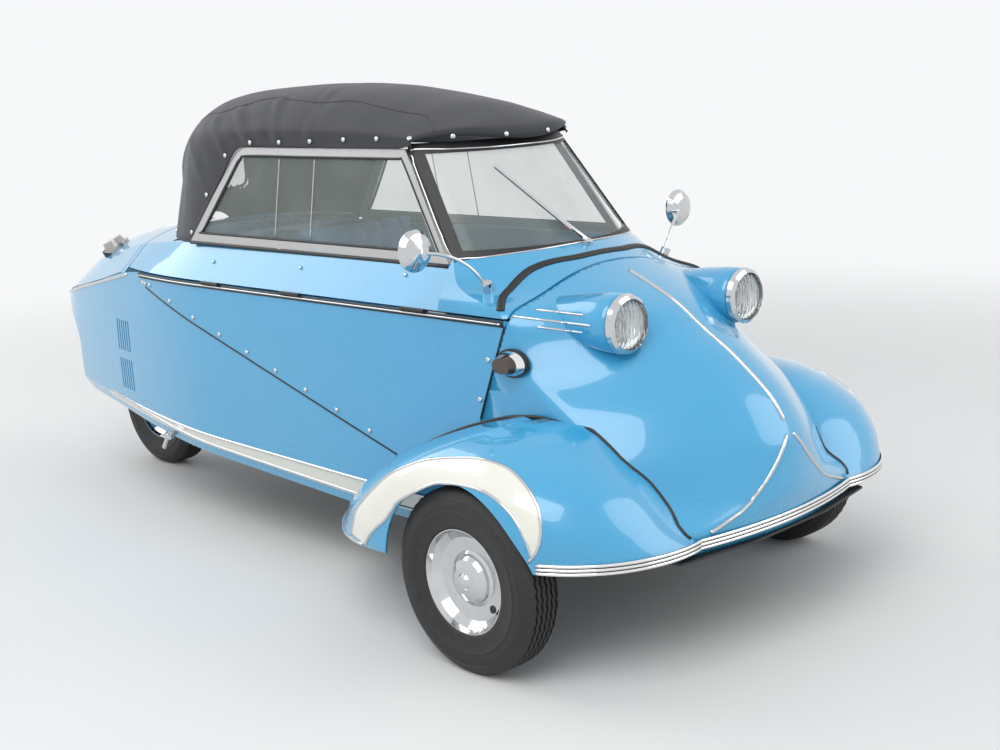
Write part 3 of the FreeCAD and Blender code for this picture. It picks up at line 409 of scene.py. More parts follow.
def keep(bm, name, finish, body):
    # bmesh to a finished object that rides on one body
    mesh = bpy.data.meshes.new(name)
    bm.to_mesh(mesh)
    bm.free()
    for face in mesh.polygons:
        face.use_smooth = True
    mesh.materials.append(finishes[finish])
    obj = bpy.data.objects.new(name, mesh)
    bpy.context.collection.objects.link(obj)
    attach(obj, body)
    return obj


def smoothPath(points, count):
    # an even, rounded path through a few points
    pts = [points[0] * 2 - points[1]] + list(points) + [points[-1] * 2 - points[-2]]
    fine = []
    for k in range(1, len(pts) - 2):
        a, b, c, d = pts[k - 1:k + 3]
        for j in range(24):
            t = j / 24
            fine.append(((b * 2) + (c - a) * t + (a * 2 - b * 5 + c * 4 - d) * t * t
                         + (b * 3 - a - c * 3 + d) * t ** 3) * 0.5)
    fine.append(pts[-2])
    lengths = [0.0]
    for a, b in zip(fine, fine[1:]):
        lengths.append(lengths[-1] + (b - a).length)
    out = []
    k = 0
    for j in range(count):
        goal = lengths[-1] * j / (count - 1)
        while k < len(fine) - 2 and lengths[k + 1] < goal:
            k += 1
        span = lengths[k + 1] - lengths[k] or 1.0
        out.append(fine[k].lerp(fine[k + 1], (goal - lengths[k]) / span))
    return out


def onSurface(tree, point):
    return tree.find_nearest(point)[:2]


def poured(bm, part):
    # one shape moved into another
    mesh = bpy.data.meshes.new("part")
    part.to_mesh(mesh)
    part.free()
    bm.from_mesh(mesh)
    bpy.data.meshes.remove(mesh)


def layStrip(bm, tree, points, width, proud, sink=0.0015, steps=90, across=4):
    # a rounded strip that follows the skin: a grid bent along the path, then given depth
    samples = smoothPath(points, steps + 1)
    seats = [onSurface(tree, p) for p in samples]
    part = bmesh.new()
    bmesh.ops.create_grid(part, x_segments=steps, y_segments=across, size=0.5)
    for v in part.verts:
        k = min(max(round((v.co.x + 0.5) * steps), 0), steps)
        place, normal = seats[k]
        ahead = seats[min(k + 1, steps)][0] - seats[max(k - 1, 0)][0]
        side = normal.cross(ahead).normalized()
        s = v.co.y * 2
        spot, flat = onSurface(tree, place + side * (s * width / 2) + normal * 0.003)
        crown = math.sqrt(max(1 - s * s * 0.96, 0.0))
        v.co = spot + normal * proud * crown
    bmesh.ops.recalc_face_normals(part, faces=part.faces)
    part.faces.ensure_lookup_table()
    middle = part.faces[len(part.faces) // 2]
    if middle.normal.dot(onSurface(tree, middle.calc_center_median())[1]) < 0:
        bmesh.ops.reverse_faces(part, faces=part.faces)
    bmesh.ops.solidify(part, geom=part.faces[:], thickness=proud + sink)
    poured(bm, part)


def vectors(*points):
    return [Vector(p) for p in points]


def flipped(points):
    return [Vector((p.x, -p.y, p.z)) for p in points]


def bothWays(half):
    # a path from one side to its mirror image, through the point on the centre line
    return half + flipped(half[-2::-1])


def strips(name, tree, paths, finish, body, both=True, **sizes):
    bm = bmesh.new()
    for path in paths:
        layStrip(bm, tree, path, **sizes)
        if both:
            layStrip(bm, tree, flipped(path), **sizes)
    bmesh.ops.recalc_face_normals(bm, faces=bm.faces)
    return keep(bm, name, finish, body)


def studs(name, tree, points, finish, body, radius, height, both=True):
    # low domed fasteners standing square to the skin
    bm = bmesh.new()
    for p in points + (flipped(points) if both else []):
        spot, normal = onSurface(tree, p)
        turn = normal.to_track_quat("Z", "Y").to_matrix().to_4x4()
        place = Matrix.Translation(spot + normal * height * 0.3) @ turn
        made = bmesh.ops.create_cone(bm, cap_ends=True, segments=16, radius1=radius, radius2=radius * 0.86,
                                     depth=height, matrix=place)
        top = max({f for v in made["verts"] for f in v.link_faces},
                  key=lambda f: f.calc_center_median().dot(normal))
        bmesh.ops.inset_individual(bm, faces=[top], thickness=radius * 0.35)
        bmesh.ops.translate(bm, verts=top.verts, vec=normal * height * 0.3)
    return keep(bm, name, finish, body)


# Shapes drawn again from the photograph, over the frame's own pieces
def smoothKeys(keys, values):
    # a curve through the values that never swings past them
    spans = [b - a for a, b in zip(keys, keys[1:])]
    rises = [(b - a) / h for a, b, h in zip(values, values[1:], spans)]
    slopes = [rises[0]]
    for a, b in zip(rises, rises[1:]):
        slopes.append(0.0 if a * b <= 0 else 2 * a * b / (a + b))
    slopes.append(rises[-1])

    def at(key):
        k = 0
        while k < len(spans) - 1 and key > keys[k + 1]:
            k += 1
        h = spans[k]
        t = (key - keys[k]) / h
        return ((1 + 2 * t) * (1 - t) ** 2 * values[k] + t * t * (3 - 2 * t) * values[k + 1]
                + h * (t * (1 - t) ** 2 * slopes[k] + t * t * (t - 1) * slopes[k + 1]))
    return at


def tableOf(rows):
    # rows in millimetres, read at any key between the first and the last
    columns = [[c * 0.001 for c in column] for column in zip(*rows)]
    curves = [smoothKeys(columns[0], column) for column in columns[1:]]
    return lambda key: [curve(key) for curve in curves]


def arcThrough(a, m, b, count):
    # even points on the arc from a over m to b, in plan
    d = 2 * (a.x * (m.y - b.y) + m.x * (b.y - a.y) + b.x * (a.y - m.y))
    if abs(d) < 1e-9:
        return [a.lerp(b, k / count) for k in range(count + 1)]
    sa, sm, sb = a.length_squared, m.length_squared, b.length_squared
    centre = Vector(((sa * (m.y - b.y) + sm * (b.y - a.y) + sb * (a.y - m.y)) / d,
                     (sa * (b.x - m.x) + sm * (a.x - b.x) + sb * (m.x - a.x)) / d))
    start, middle, end = (math.atan2(p.y - centre.y, p.x - centre.x) for p in (a, m, b))
    sweep = (end - start) % math.tau
    if (middle - start) % math.tau > sweep:
        sweep -= math.tau
    radius = (a - centre).length
    return [centre + Vector((math.cos(start + sweep * k / count), math.sin(start + sweep * k / count)))
            * radius
            for k in range(count + 1)]


def shapedGrid(columns, rows, place):
    # a grid whose corner i, j goes where place says
    bm = bmesh.new()
    bmesh.ops.create_grid(bm, x_segments=columns, y_segments=rows, size=0.5)
    for v in bm.verts:
        v.co = place(round((v.co.x + 0.5) * columns), round((v.co.y + 0.5) * rows))
    return bm


def faceOut(bm, centre):
    bmesh.ops.recalc_face_normals(bm, faces=bm.faces)
    away = sum((f.calc_center_median() - centre).normalized().dot(f.normal) for f in bm.faces)
    if away < 0:
        bmesh.ops.reverse_faces(bm, faces=bm.faces)


def thicken(obj, thickness):
    wall = obj.modifiers.new("wall", "SOLIDIFY")
    wall.thickness = thickness
    wall.offset = -1


def treeOf(*objs):
    bm = bmesh.new()
    for obj in objs:
        bm.from_mesh(obj.data)
    tree = BVHTree.FromBMesh(bm)
    bm.free()
    return tree


# Nose: height, front x, front radius, y where that arc ends, x where the side turns in, side y
nose = {"rows": [(250, 1385, 1000, 235, 1312, 353), (288, 1390, 1000, 235, 1306, 353),
                 (340, 1402, 400, 150, 1220, 353), (423, 1395, 220, 100, 1170, 353),
                 (506, 1354, 170, 85, 1088, 353), (600, 1250, 165, 90, 948, 352),
                 (655, 1165, 185, 85, 922, 351), (702, 1098, 235, 98, 914, 350),
                 (745, 1010, 300, 160, 785, 336), (785, 920, 320, 170, 722, 314),
                 (826, 835, 340, 150, 690, 291)],
        "bulge": 0.05, "turn": 0.020, "arcs": (12, 26, 8, 4), "lowZ": 0.2503, "beltZ": 0.6997, "topZ": 0.800,
        "levels": (46, 34), "cowlX": 0.9157, "seamLow": (0.8243, 0.473), "seamHigh": (0.9143, 0.702),
        "ease": 0.13, "easeZ": 0.66, "coreZ": 0.45, "wall": 0.006}
noseAt = tableOf(nose["rows"])
noseCad = treeOf(nodes["nose_shell"])


def noseHalf(z):
    # left half of a level section in plan, from the centre line round to the seam
    xf, radius, yk, xs, ys = noseAt(z)
    depth = nose["turn"]
    knee = Vector((xf - radius + math.sqrt(radius * radius - yk * yk), yk))
    bend = 2 * math.atan(2 * nose["bulge"])
    rimX = xs + depth
    slope = 0.0
    for attempt in range(12):
        slope = math.atan2(knee.x - rimX, ys - depth - yk) + bend
        rimX = xs + depth * math.tan(slope)
    rim = Vector((rimX, ys - depth))
    reach = depth / math.cos(slope)
    turn, heel = Vector((xs, ys)), Vector((xs - reach, ys))
    halfBend = (math.pi / 2 - slope) / 2
    crown = turn + ((rim + heel) / 2 - turn).normalized() * (reach / math.tan(halfBend)
                                                            * (1 / math.cos(halfBend) - 1))
    out = Vector((rim.y - knee.y, knee.x - rim.x)).normalized()
    half = (rim + knee) / 2 + out * nose["bulge"] * (knee - rim).length
    wide = math.asin(yk / radius)
    first, second, third, last = nose["arcs"]
    points = [Vector((xf - radius + radius * math.cos(wide * k / first), radius * math.sin(wide * k / first)))
              for k in range(first + 1)]
    points += arcThrough(knee, half, rim, second)[1:]
    points += arcThrough(rim, crown, heel, third)[1:]
    back = Vector((min(heel.x - 0.01, 0.72), ys))
    points += [heel.lerp(back, k / last) for k in range(1, last + 1)]
    return points


def nosePart(lowZ, highZ, rows):
    half = sum(nose["arcs"])

    def place(i, j):
        p = levels[j][abs(i - half)]
        return Vector((p.x, p.y if i > half else -p.y, heights[j]))

    heights = [lowZ + (highZ - lowZ) * j / rows for j in range(rows + 1)]
    levels = [noseHalf(z) for z in heights]
    return shapedGrid(2 * half, rows, place)


bm = nosePart(nose["lowZ"], nose["beltZ"], nose["levels"][0])
low, high = nose["seamLow"], nose["seamHigh"]
seamNormal = Vector((high[1] - low[1], 0, low[0] - high[0])).normalized()
bmesh.ops.bisect_plane(bm, geom=bm.verts[:] + bm.edges[:] + bm.faces[:], dist=1e-6,
                       plane_co=(low[0], 0, low[1]), plane_no=seamNormal, clear_inner=True)
upper = nosePart(nose["beltZ"], nose["topZ"], nose["levels"][1])
bmesh.ops.bisect_plane(upper, geom=upper.verts[:] + upper.edges[:] + upper.faces[:], dist=1e-6,
                       plane_co=(nose["cowlX"], 0, 0), plane_no=(1, 0, 0), clear_inner=True)
poured(bm, upper)
bmesh.ops.remove_doubles(bm, verts=bm.verts, dist=0.0002)
for v in bm.verts:
    # next to the moving canopy it meets the frame's own surface
    if v.co.x < nose["cowlX"] + nose["ease"] and v.co.z > nose["easeZ"]:
        out = Vector((0, v.co.y, v.co.z - nose["coreZ"])).normalized()
        hit = noseCad.ray_cast(v.co + out * 0.06, -out, 0.12)[0]
        if hit:
            ease = min(max((v.co.x - nose["cowlX"]) / nose["ease"], 0), 1)
            keepShare = max(ease * ease * (3 - 2 * ease), 1 - min((v.co.z - nose["easeZ"]) / 0.035, 1))
            v.co = hit.lerp(v.co, keepShare)
faceOut(bm, Vector((0.8, 0, 0.45)))
noseSkin = keep(bm, "nose_skin", "paint", "body")
noseTree = treeOf(noseSkin)
thicken(noseSkin, nose["wall"])
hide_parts("nose_shell")
print("stage: nose")

# Headlamps: torpedo pods with a polished bowl behind the glass
lamp = {"x": 1.117, "y": 0.206, "z": 0.691, "steps": 64,
        "pod": [(0.0005, 0.0575), (-0.001, 0.0605), (-0.012, 0.064), (-0.045, 0.0635), (-0.09, 0.0595),
                (-0.16, 0.050), (-0.24, 0.034), (-0.31, 0.014), (-0.33, 0.001)],
        "bowl": [(0.002, 0.0515), (-0.006, 0.050), (-0.018, 0.043), (-0.028, 0.030), (-0.033, 0.014),
                 (-0.034, 0.0)]}


def turned(bm, profile, origin, axis, steps):
    # profile points are (along the axis, radius)
    side = Vector((0, 0, 1)) if abs(axis.z) < 0.9 else Vector((1, 0, 0))
    verts = [bm.verts.new(origin + axis * a + side * r) for a, r in profile]
    edges = [bm.edges.new(pair) for pair in zip(verts, verts[1:])]
    bmesh.ops.spin(bm, geom=verts + edges, cent=origin, axis=axis, angle=math.tau, steps=steps,
                   use_merge=True)
    bmesh.ops.remove_doubles(bm, verts=bm.verts, dist=1e-5)


def lampPiece(name, profile, finish):
    bm = bmesh.new()
    for side in (-1, 1):
        turned(bm, profile, Vector((lamp["x"], side * lamp["y"], lamp["z"])), Vector((1, 0, 0)),
               lamp["steps"])
    bmesh.ops.recalc_face_normals(bm, faces=bm.faces)
    return keep(bm, name, finish, "body")


pods = lampPiece("lamp_pods", lamp["pod"], "paint")
thicken(pods, 0.003)
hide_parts("headlamp_pods")
bowls = lampPiece("lamp_bowls", lamp["bowl"], "mirrorGlass")
thicken(bowls, 0.001)

# Fenders: height, rear x, front x at the nose, outer y, rear and front x of the flat outer side
fender = {"rows": [(165, 340, 1358, 598, 770, 1085), (262, 450, 1358, 602, 755, 1085),
                   (325, 540, 1296, 604, 790, 1105), (388, 640, 1234, 598, 830, 1085),
                   (440, 755, 1155, 572, 890, 1042), (478, 865, 1118, 518, 945, 1005),
                   (500, 950, 1072, 448, 985, 1012)],
          "noseY": 0.270, "sideY": 0.352, "topZ": 0.4995, "frontLowZ": 0.262, "arcs": (30, 8, 26),
          "levels": 36, "crown": [(0.30, 0.5030), (0.6, 0.5050), (0.95, 0.5060)], "crownAt": (1.012, 0.385),
          "wall": 0.006, "sharp": 0.7}
fenderAt = tableOf(fender["rows"])


def cornerPoints(side, foot, count):
    # tangent to the flat outer side, round to the foot on the body
    across, along = side.y - foot.y, foot.x - side.x
    if foot.x < side.x and across > -along:
        # a steep rear corner meets the body square
        return [Vector((side.x + along * math.sin(a), side.y - across * (1 - math.cos(a))))
                for a in (math.pi / 2 * k / count for k in range(count + 1))]
    radius = (along * along + across * across) / (2 * across)
    centre = Vector((side.x, side.y - radius))
    end = math.atan2(foot.y - centre.y, foot.x - centre.x)
    if foot.x < side.x:
        end %= math.tau
    return [centre + Vector((math.cos(a), math.sin(a))) * radius
            for a in (math.pi / 2 + (end - math.pi / 2) * k / count for k in range(count + 1))]


def fenderOutline(z):
    xr, xf, yo, backX, frontX = fenderAt(z)
    front = cornerPoints(Vector((frontX, yo)), Vector((xf, fender["noseY"])), fender["arcs"][0])
    rear = cornerPoints(Vector((backX, yo)), Vector((xr, fender["sideY"])), fender["arcs"][2])
    count = fender["arcs"][1]
    flat = [Vector((frontX + (backX - frontX) * k / count, yo)) for k in range(1, count)]
    return front[::-1] + flat + rear


def fenderPlace(i, j):
    if j > fender["levels"]:
        share, z = fender["crown"][j - fender["levels"] - 1]
        edge = fenderOutline(fender["topZ"])[i]
        p = edge.lerp(Vector(fender["crownAt"]), share)
        return Vector((p.x, p.y, z))
    low = fenderOutline(fender["frontLowZ"])[i]
    start = fender["frontLowZ"]
    if low.x < wheelX:
        start = 0.141 + 0.2 * (fenderOutline(0.2)[i].y - 0.2)
    z = start + (fender["topZ"] - start) * j / fender["levels"]
    p = fenderOutline(z)[i]
    return Vector((p.x, p.y, z))


def cutArch(bm):
    # a round head with straight sides: short plane cuts along its outline, then the inside goes
    r = arch["radius"]
    outline = [Vector((arch["x"] - r, 0, -0.1))]
    outline += [Vector((arch["x"] - r * math.cos(math.pi * k / 48), 0,
                        arch["z"] + r * math.sin(math.pi * k / 48)))
                for k in range(49)]
    outline.append(Vector((arch["x"] + r, 0, -0.1)))
    for start, end in zip(outline, outline[1:]):
        along = (end - start).normalized()
        across = Vector((-along.z, 0, along.x))
        near = []
        for face in bm.faces:
            c = face.calc_center_median() - start
            if -0.02 < c.dot(along) < (end - start).length + 0.02 and abs(c.dot(across)) < 0.02:
                near.append(face)
        around = list({e for f in near for e in f.edges}) + list({v for f in near for v in f.verts})
        bmesh.ops.bisect_plane(bm, geom=near + around, dist=1e-5, plane_co=start, plane_no=across)
    doomed = []
    for face in bm.faces:
        c = face.calc_center_median()
        if math.hypot(c.x - arch["x"], c.z - arch["z"]) < r or (abs(c.x - arch["x"]) < r and c.z < arch["z"]):
            doomed.append(face)
    bmesh.ops.delete(bm, geom=doomed, context="FACES")


def mirroredCopy(bm):
    bmesh.ops.scale(bm, vec=(1, -1, 1), verts=bm.verts)
    bmesh.ops.reverse_faces(bm, faces=bm.faces)


bm = shapedGrid(sum(fender["arcs"]), fender["levels"] + len(fender["crown"]), fenderPlace)
faceOut(bm, Vector((0.95, 0.2, 0.2)))
wholeFender = bm.copy()
mirroredCopy(wholeFender)
wholeFender = BVHTree.FromBMesh(wholeFender)
cutArch(bm)
skins = [keep(bm, "fender_skin_left", "paint", "body")]
bm = bmesh.new()
bm.from_mesh(skins[0].data)
mirroredCopy(bm)
skins.append(keep(bm, "fender_skin_right", "paint", "body"))
for skin, node in zip(skins, ("fender_left", "fender_right")):
    skin.data.set_sharp_from_angle(angle=fender["sharp"])
    thicken(skin, fender["wall"])
    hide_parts(node)
fenderTree = treeOf(*skins)
print("stage: fenders")

# Bumper: three bright ribs swept round the fender fronts and the nose
cornerHalf = cornerPoints(Vector((1.085, 0.602)), Vector((1.358, fender["noseY"])), 60)
cornerHalf = [p for p in cornerHalf if p.x >= bumper["endX"]]
frontArc = arcThrough(cornerHalf[-1], Vector((1.390, 0)), Vector((cornerHalf[-1].x, -cornerHalf[-1].y)), 60)
plan = cornerHalf + frontArc[1:-1] + [Vector((p.x, -p.y)) for p in reversed(cornerHalf)]
plan = smoothPath([Vector((p.x, p.y, 0)) for p in plan], bumper["along"] + 1)


def bumperPlace(i, j):
    ahead = (plan[min(i + 1, bumper["along"])] - plan[max(i - 1, 0)]).normalized()
    out = Vector((-ahead.y, ahead.x, 0))
    height = bumper["rib"] * bumper["ribs"] * j / bumper["across"]
    proud = bumper["proud"] * math.sqrt(abs(math.sin(math.pi * height / bumper["rib"])))
    return plan[i] + out * (0.0015 + proud) + Vector((0, 0, bumper["low"] + height))


bm = shapedGrid(bumper["along"], bumper["across"], bumperPlace)
faceOut(bm, Vector((1.0, 0, 0.27)))
ribs = keep(bm, "bumper_ribs", "bumper", "body")
thicken(ribs, bumper["back"])
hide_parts("bumper_strip")
print("stage: bumper")

bodyTree = treeOf(noseSkin, nodes["side_panel_left"], nodes["side_panel_right"], nodes["tail_side_left"],
                  nodes["tail_side_right"])


def sidePath(pairs, y=sideY + 0.004):
    return [Vector((x, -y, z)) for x, z in pairs]


def tube(name, paths, radius, finish, body, closed=False, steps=80, both=True):
    # a round bead along each path and its mirror image, half sunk in what carries it
    curve = bpy.data.curves.new(name, "CURVE")
    curve.dimensions = "3D"
    curve.bevel_depth = radius
    curve.bevel_resolution = 3
    curve.use_fill_caps = not closed
    for path in paths + ([flipped(p) for p in paths] if both else []):
        points = smoothPath(path, steps + 1)
        if closed:
            points = points[:-1]
        spline = curve.splines.new("POLY")
        spline.points.add(len(points) - 1)
        for point, place in zip(spline.points, points):
            point.co = (*place, 1.0)
        spline.use_cyclic_u = closed
    temp = bpy.data.objects.new(name, curve)
    bpy.context.collection.objects.link(temp)
    graph = bpy.context.evaluated_depsgraph_get()
    mesh = bpy.data.meshes.new_from_object(temp.evaluated_get(graph))
    bpy.data.objects.remove(temp)
    bm = bmesh.new()
    bm.from_mesh(mesh)
    bpy.data.meshes.remove(mesh)
    bmesh.ops.remove_doubles(bm, verts=bm.verts, dist=1e-6)
    bmesh.ops.recalc_face_normals(bm, faces=bm.faces)
    return keep(bm, name, finish, body)


def seated(tree, points):
    return [tree.find_nearest(p)[0] for p in points]


def seen(tree, points):
    # where a point of the photograph's view lands on the skin
    hits = []
    for p in points:
        hit = tree.ray_cast(eye, (p - eye).normalized())[0]
        if hit:
            hits.append(hit)
    return hits


# Belt rubber with its bright insert, and the rubber over the cowl
belt = {"z": 0.6955, "width": 0.019, "proud": 0.005, "back": -0.60, "front": 0.905, "bead": 0.0018}
beltPath = sidePath([(belt["back"], belt["z"]), (-0.3, belt["z"]), (0.3, belt["z"]),
                     (belt["front"], belt["z"])])
strips("belt_rubber", bodyTree, [beltPath], "rubber", "body", width=belt["width"], proud=belt["proud"],
       steps=120)
beadPath = []
for k in range(61):
    x = belt["back"] + 0.004 + (belt["front"] - belt["back"] - 0.008) * k / 60
    side = bodyTree.ray_cast(Vector((x, -0.6, belt["z"] - 0.003)), Vector((0, 1, 0)))[0]
    if side:
        beadPath.append(Vector((x, side.y - belt["proud"] - 0.0009, belt["z"] - 0.002)))
tube("belt_bead", [beadPath], belt["bead"], "chrome", "body", steps=100)

cowl = {"path": [(0.891, -0.343, 0.7195), (0.877, -0.327, 0.729), (0.857, -0.299, 0.741),
                 (0.851, -0.284, 0.747), (0.851, -0.273, 0.752), (0.847, -0.257, 0.761),
                 (0.846, -0.242, 0.768), (0.846, -0.224, 0.777), (0.846, -0.204, 0.785),
                 (0.850, -0.182, 0.792), (0.855, -0.159, 0.797), (0.865, -0.123, 0.800),
                 (0.877, -0.074, 0.802)],
        "width": 0.019, "proud": 0.005}
half = vectors(*cowl["path"])
half.append(Vector((half[-1].x + 0.003, 0, half[-1].z + 0.002)))
cowlPath = smoothPath(bothWays(half), 24)
strips("cowl_rubber", treeOf(nodes["canopy_base"]), [cowlPath], "rubber", "canopy", both=False,
       width=cowl["width"], proud=cowl["proud"], steps=160)

# Screwed seams on the sides
seam = {"diagonal": [(-0.558, 0.6617), (0.0, 0.5015), (0.532, 0.3487)],
        "upright": [(0.909, 0.688), (0.868, 0.585), (0.826, 0.478)], "radius": 0.0024, "screw": 0.0065,
        "screwHigh": 0.004, "screwFrom": -0.53, "screwStep": 0.121, "screwUp": 0.017}
seamPaths = [seated(bodyTree, smoothPath(sidePath(seam[key]), 40)) for key in ("diagonal", "upright")]
tube("side_seams", seamPaths, seam["radius"], "rubber", "body", steps=90)
(startX, startZ), (endX, endZ) = seam["diagonal"][0], seam["diagonal"][-1]
slope = (endZ - startZ) / (endX - startX)
screwPlaces = [(x, startZ + slope * (x - startX) + seam["screwUp"])
               for x in (seam["screwFrom"] + seam["screwStep"] * k for k in range(9))]
screwPlaces += [(-0.575, 0.675), (-0.56, 0.672), (0.858, 0.612), (0.828, 0.52)]
studs("side_screws", bodyTree, sidePath(screwPlaces), "chrome", "body", seam["screw"], seam["screwHigh"])

# Sill band beads
sillPlaces = [-0.93, -0.7, -0.45, -0.2, 0.1, 0.4, 0.62]
sillHeights = [sillEdges([max(bend - x, 0) for bend in sill["bends"]]) for x in sillPlaces]
sillPaths = [seated(bodyTree, smoothPath(sidePath(zip(sillPlaces, edge), 0.36), 50))
             for edge in zip(*sillHeights)]
tube("sill_beads", sillPaths, 0.0038, "chrome", "body", steps=110)


# Piping where the fenders meet the body
def noseFrontX(half, y):
    for p, q in zip(half, half[1:]):
        if p.y <= y <= q.y and q.y > p.y:
            return p.x + (q.x - p.x) * (y - p.y) / (q.y - p.y)
    return 0.0


def jointPath():
    points = [Vector((fenderAt(z)[0] - 0.003, 0.356, z)) for z in [0.185 + 0.31 * k / 20 for k in range(21)]]
    points += [Vector((1.0, 0.3545, 0.5035)), Vector((1.05, 0.3545, 0.502))]
    for k in range(26):
        z = 0.492 - (0.492 - 0.288) * k / 25
        half = noseHalf(z)
        outline = fenderOutline(z)[:fender["arcs"][0] + 1][::-1]
        for p in smoothPath([Vector((q.x, q.y, 0)) for q in outline], 200):
            if p.y < 0.354 and p.x < noseFrontX(half, p.y):
                points.append(Vector((p.x, p.y, z)))
                break
    return points


joint = jointPath()
tube("fender_piping", [joint], 0.0042, "rubber", "body", steps=200)
print("stage: fender piping")

# Cream panels on the fenders between two bright beads
panel = {"outer": [(655, 241), (664, 272), (688, 315), (781, 392), (850, 428), (928, 456), (1048, 479),
                   (1110, 481), (1159, 473), (1200, 448), (1227, 416), (1234, 380), (1231, 347), (1218, 318),
                   (1196, 295)],
         "inner": [(698, 227), (716, 252), (742, 276), (772, 298), (800, 328), (826, 352), (924, 402),
                   (975, 414), (1014, 418), (1060, 418), (1100, 412), (1136, 396), (1166, 374), (1192, 338),
                   (1207, 306)],
         "along": 110, "across": 14, "proud": 0.0013, "bead": 0.0034}
edges = {key: smoothPath([Vector((x * 0.001, -0.6, z * 0.001)) for x, z in panel[key]], panel["along"] + 1)
         for key in ("outer", "inner")}


def panelPlace(i, j):
    aim = edges["inner"][i].lerp(edges["outer"][i], j / panel["across"])
    ray = (aim - eye).normalized()
    place, normal = wholeFender.ray_cast(eye, ray)[:2]
    if place is None:
        place, normal = onSurface(wholeFender, aim)
    return place + normal * panel["proud"]


bm = shapedGrid(panel["along"], panel["across"], panelPlace)
bmesh.ops.recalc_face_normals(bm, faces=bm.faces)
if sum(f.normal.y for f in bm.faces) > 0:
    bmesh.ops.reverse_faces(bm, faces=bm.faces)
creamRight = keep(bm, "wheel_panel_right", "cream", "body")
bm = bmesh.new()
bm.from_mesh(creamRight.data)
mirroredCopy(bm)
creamLeft = keep(bm, "wheel_panel_left", "cream", "body")
thicken(creamRight, 0.0004)
thicken(creamLeft, 0.0004)
beads = [seen(wholeFender, edges["outer"]), seen(wholeFender, edges["inner"])]
tube("wheel_panel_beads", beads, panel["bead"], "chrome", "body", steps=120)

# Nose strip, wishbone trims and lamp strips
spine = vectors((0.963, 0, 0.767), (1.048, 0, 0.724), (1.158, 0, 0.660), (1.263, 0, 0.589), (1.345, 0, 0.52),
                (1.376, 0, 0.48))
tube("nose_strip", [seated(noseTree, smoothPath(spine, 30))], 0.0048, "chrome", "body", steps=90,
     both=False)
wish = vectors((1.40, -0.012, 0.455), (1.405, -0.05, 0.41), (1.405, -0.10, 0.365), (1.395, -0.16, 0.325),
               (1.37, -0.215, 0.300), (1.358, -0.24, 0.292))
wishPath = seated(noseTree, smoothPath(wish, 30))
tube("wishbone_trims", [wishPath], 0.0042, "chrome", "body", steps=70)
lampStrips = [[(0.985, -0.33, 0.729), (1.117, -0.33, 0.729)], [(0.925, -0.34, 0.711), (1.144, -0.34, 0.711)],
              [(1.000, -0.345, 0.696), (1.126, -0.345, 0.696)]]
lampTree = treeOf(noseSkin, pods)
lampPaths = [seen(lampTree, smoothPath(vectors(*ends), 16)) for ends in lampStrips]
tube("lamp_strips", lampPaths, 0.0028, "chrome", "body", steps=40)

# Tail: crease trim on the body, ridge bead on the lid
crease = vectors((-0.69, -0.315, 0.686), (-0.93, -0.275, 0.640), (-1.125, -0.232, 0.603),
                 (-1.26, -0.192, 0.576), (-1.36, -0.130, 0.555), (-1.405, -0.06, 0.547))
tailTree = treeOf(nodes["tail_side_left"], nodes["tail_side_right"], nodes["tail_deck"])
creasePath = seated(tailTree, smoothPath(crease, 30))
tube("tail_crease_trim", [creasePath], 0.0045, "chrome", "body", steps=80)
lidTree = treeOf(nodes["engine_lid"])
ridge = vectors((-0.76, 0, 0.82), (-0.95, 0, 0.79), (-1.12, 0, 0.745), (-1.27, 0, 0.68))
tube("lid_ridge_bead", [seated(lidTree, smoothPath(ridge, 24))], 0.004, "chrome", "engine_lid", steps=60,
     both=False)
print("stage: strips and beads")

# Screen insert and the rubbers inside the window frames
screen = {"front": [(0.534, 0.262, 1.046), (0.560, 0.277, 0.985), (0.610, 0.287, 0.925),
                    (0.660, 0.296, 0.865), (0.703, 0.300, 0.818), (0.735, 0.278, 0.814),
                    (0.790, 0.190, 0.816), (0.823, 0.10, 0.820), (0.834, 0.0, 0.822)],
          "header": [(0.530, 0.255, 1.052), (0.60, 0.19, 1.052), (0.648, 0.10, 1.052), (0.662, 0.0, 1.052)]}
screenTree = treeOf(nodes["windscreen_frame"])


def frontSeat(points):
    # onto the outer face of the screen frame
    out = []
    for p in points:
        away = (p - Vector((0.45, 0, 0.90))).normalized()
        hit = screenTree.ray_cast(p + away * 0.2, -away, 0.3)[0]
        out.append(hit or screenTree.find_nearest(p)[0])
    return out


inserts = [frontSeat(smoothPath(bothWays(flipped(vectors(*path))), 90)) for path in screen.values()]
tube("screen_insert", inserts, 0.0024, "chrome", "canopy", steps=200, both=False)

window = {"low": (0.300, 0.8015), "high": (0.258, 1.052), "rubber": 0.0035}


def wallY(z):
    (yLow, zLow), (yHigh, zHigh) = window["low"], window["high"]
    return yLow + (yHigh - yLow) * (z - zLow) / (zHigh - zLow)


gasket = [(-0.311, 0.8235), (0.10, 0.8235), (0.60, 0.8235), (0.652, 0.8235), (0.6475, 0.8335), (0.575, 0.935),
          (0.5105, 1.024), (0.498, 1.030), (0.45, 1.030), (0.15, 1.030), (-0.105, 1.030), (-0.135, 1.021),
          (-0.158, 0.996), (-0.22, 0.915), (-0.288, 0.8335)]
gasketPath = [Vector((x, -(wallY(z) - 0.002), z)) for x, z in gasket]
gasketPath.append(gasketPath[0])
tube("window_rubbers", [gasketPath], window["rubber"], "rubber", "canopy", closed=True, steps=200)
sash = [[Vector((x, -(wallY(z) - 0.0045), z)) for z in (0.826, 0.93, 1.028)] for x in (0.03, 0.175)]
tube("sash_edges", sash, 0.0016, "aluminium", "canopy", steps=12)
under = [Vector((x, -0.3035, 0.797)) for x in (-0.34, 0.0, 0.4, 0.69)]
tube("window_sill_rubbers", [under], 0.0042, "rubber", "canopy", steps=30)
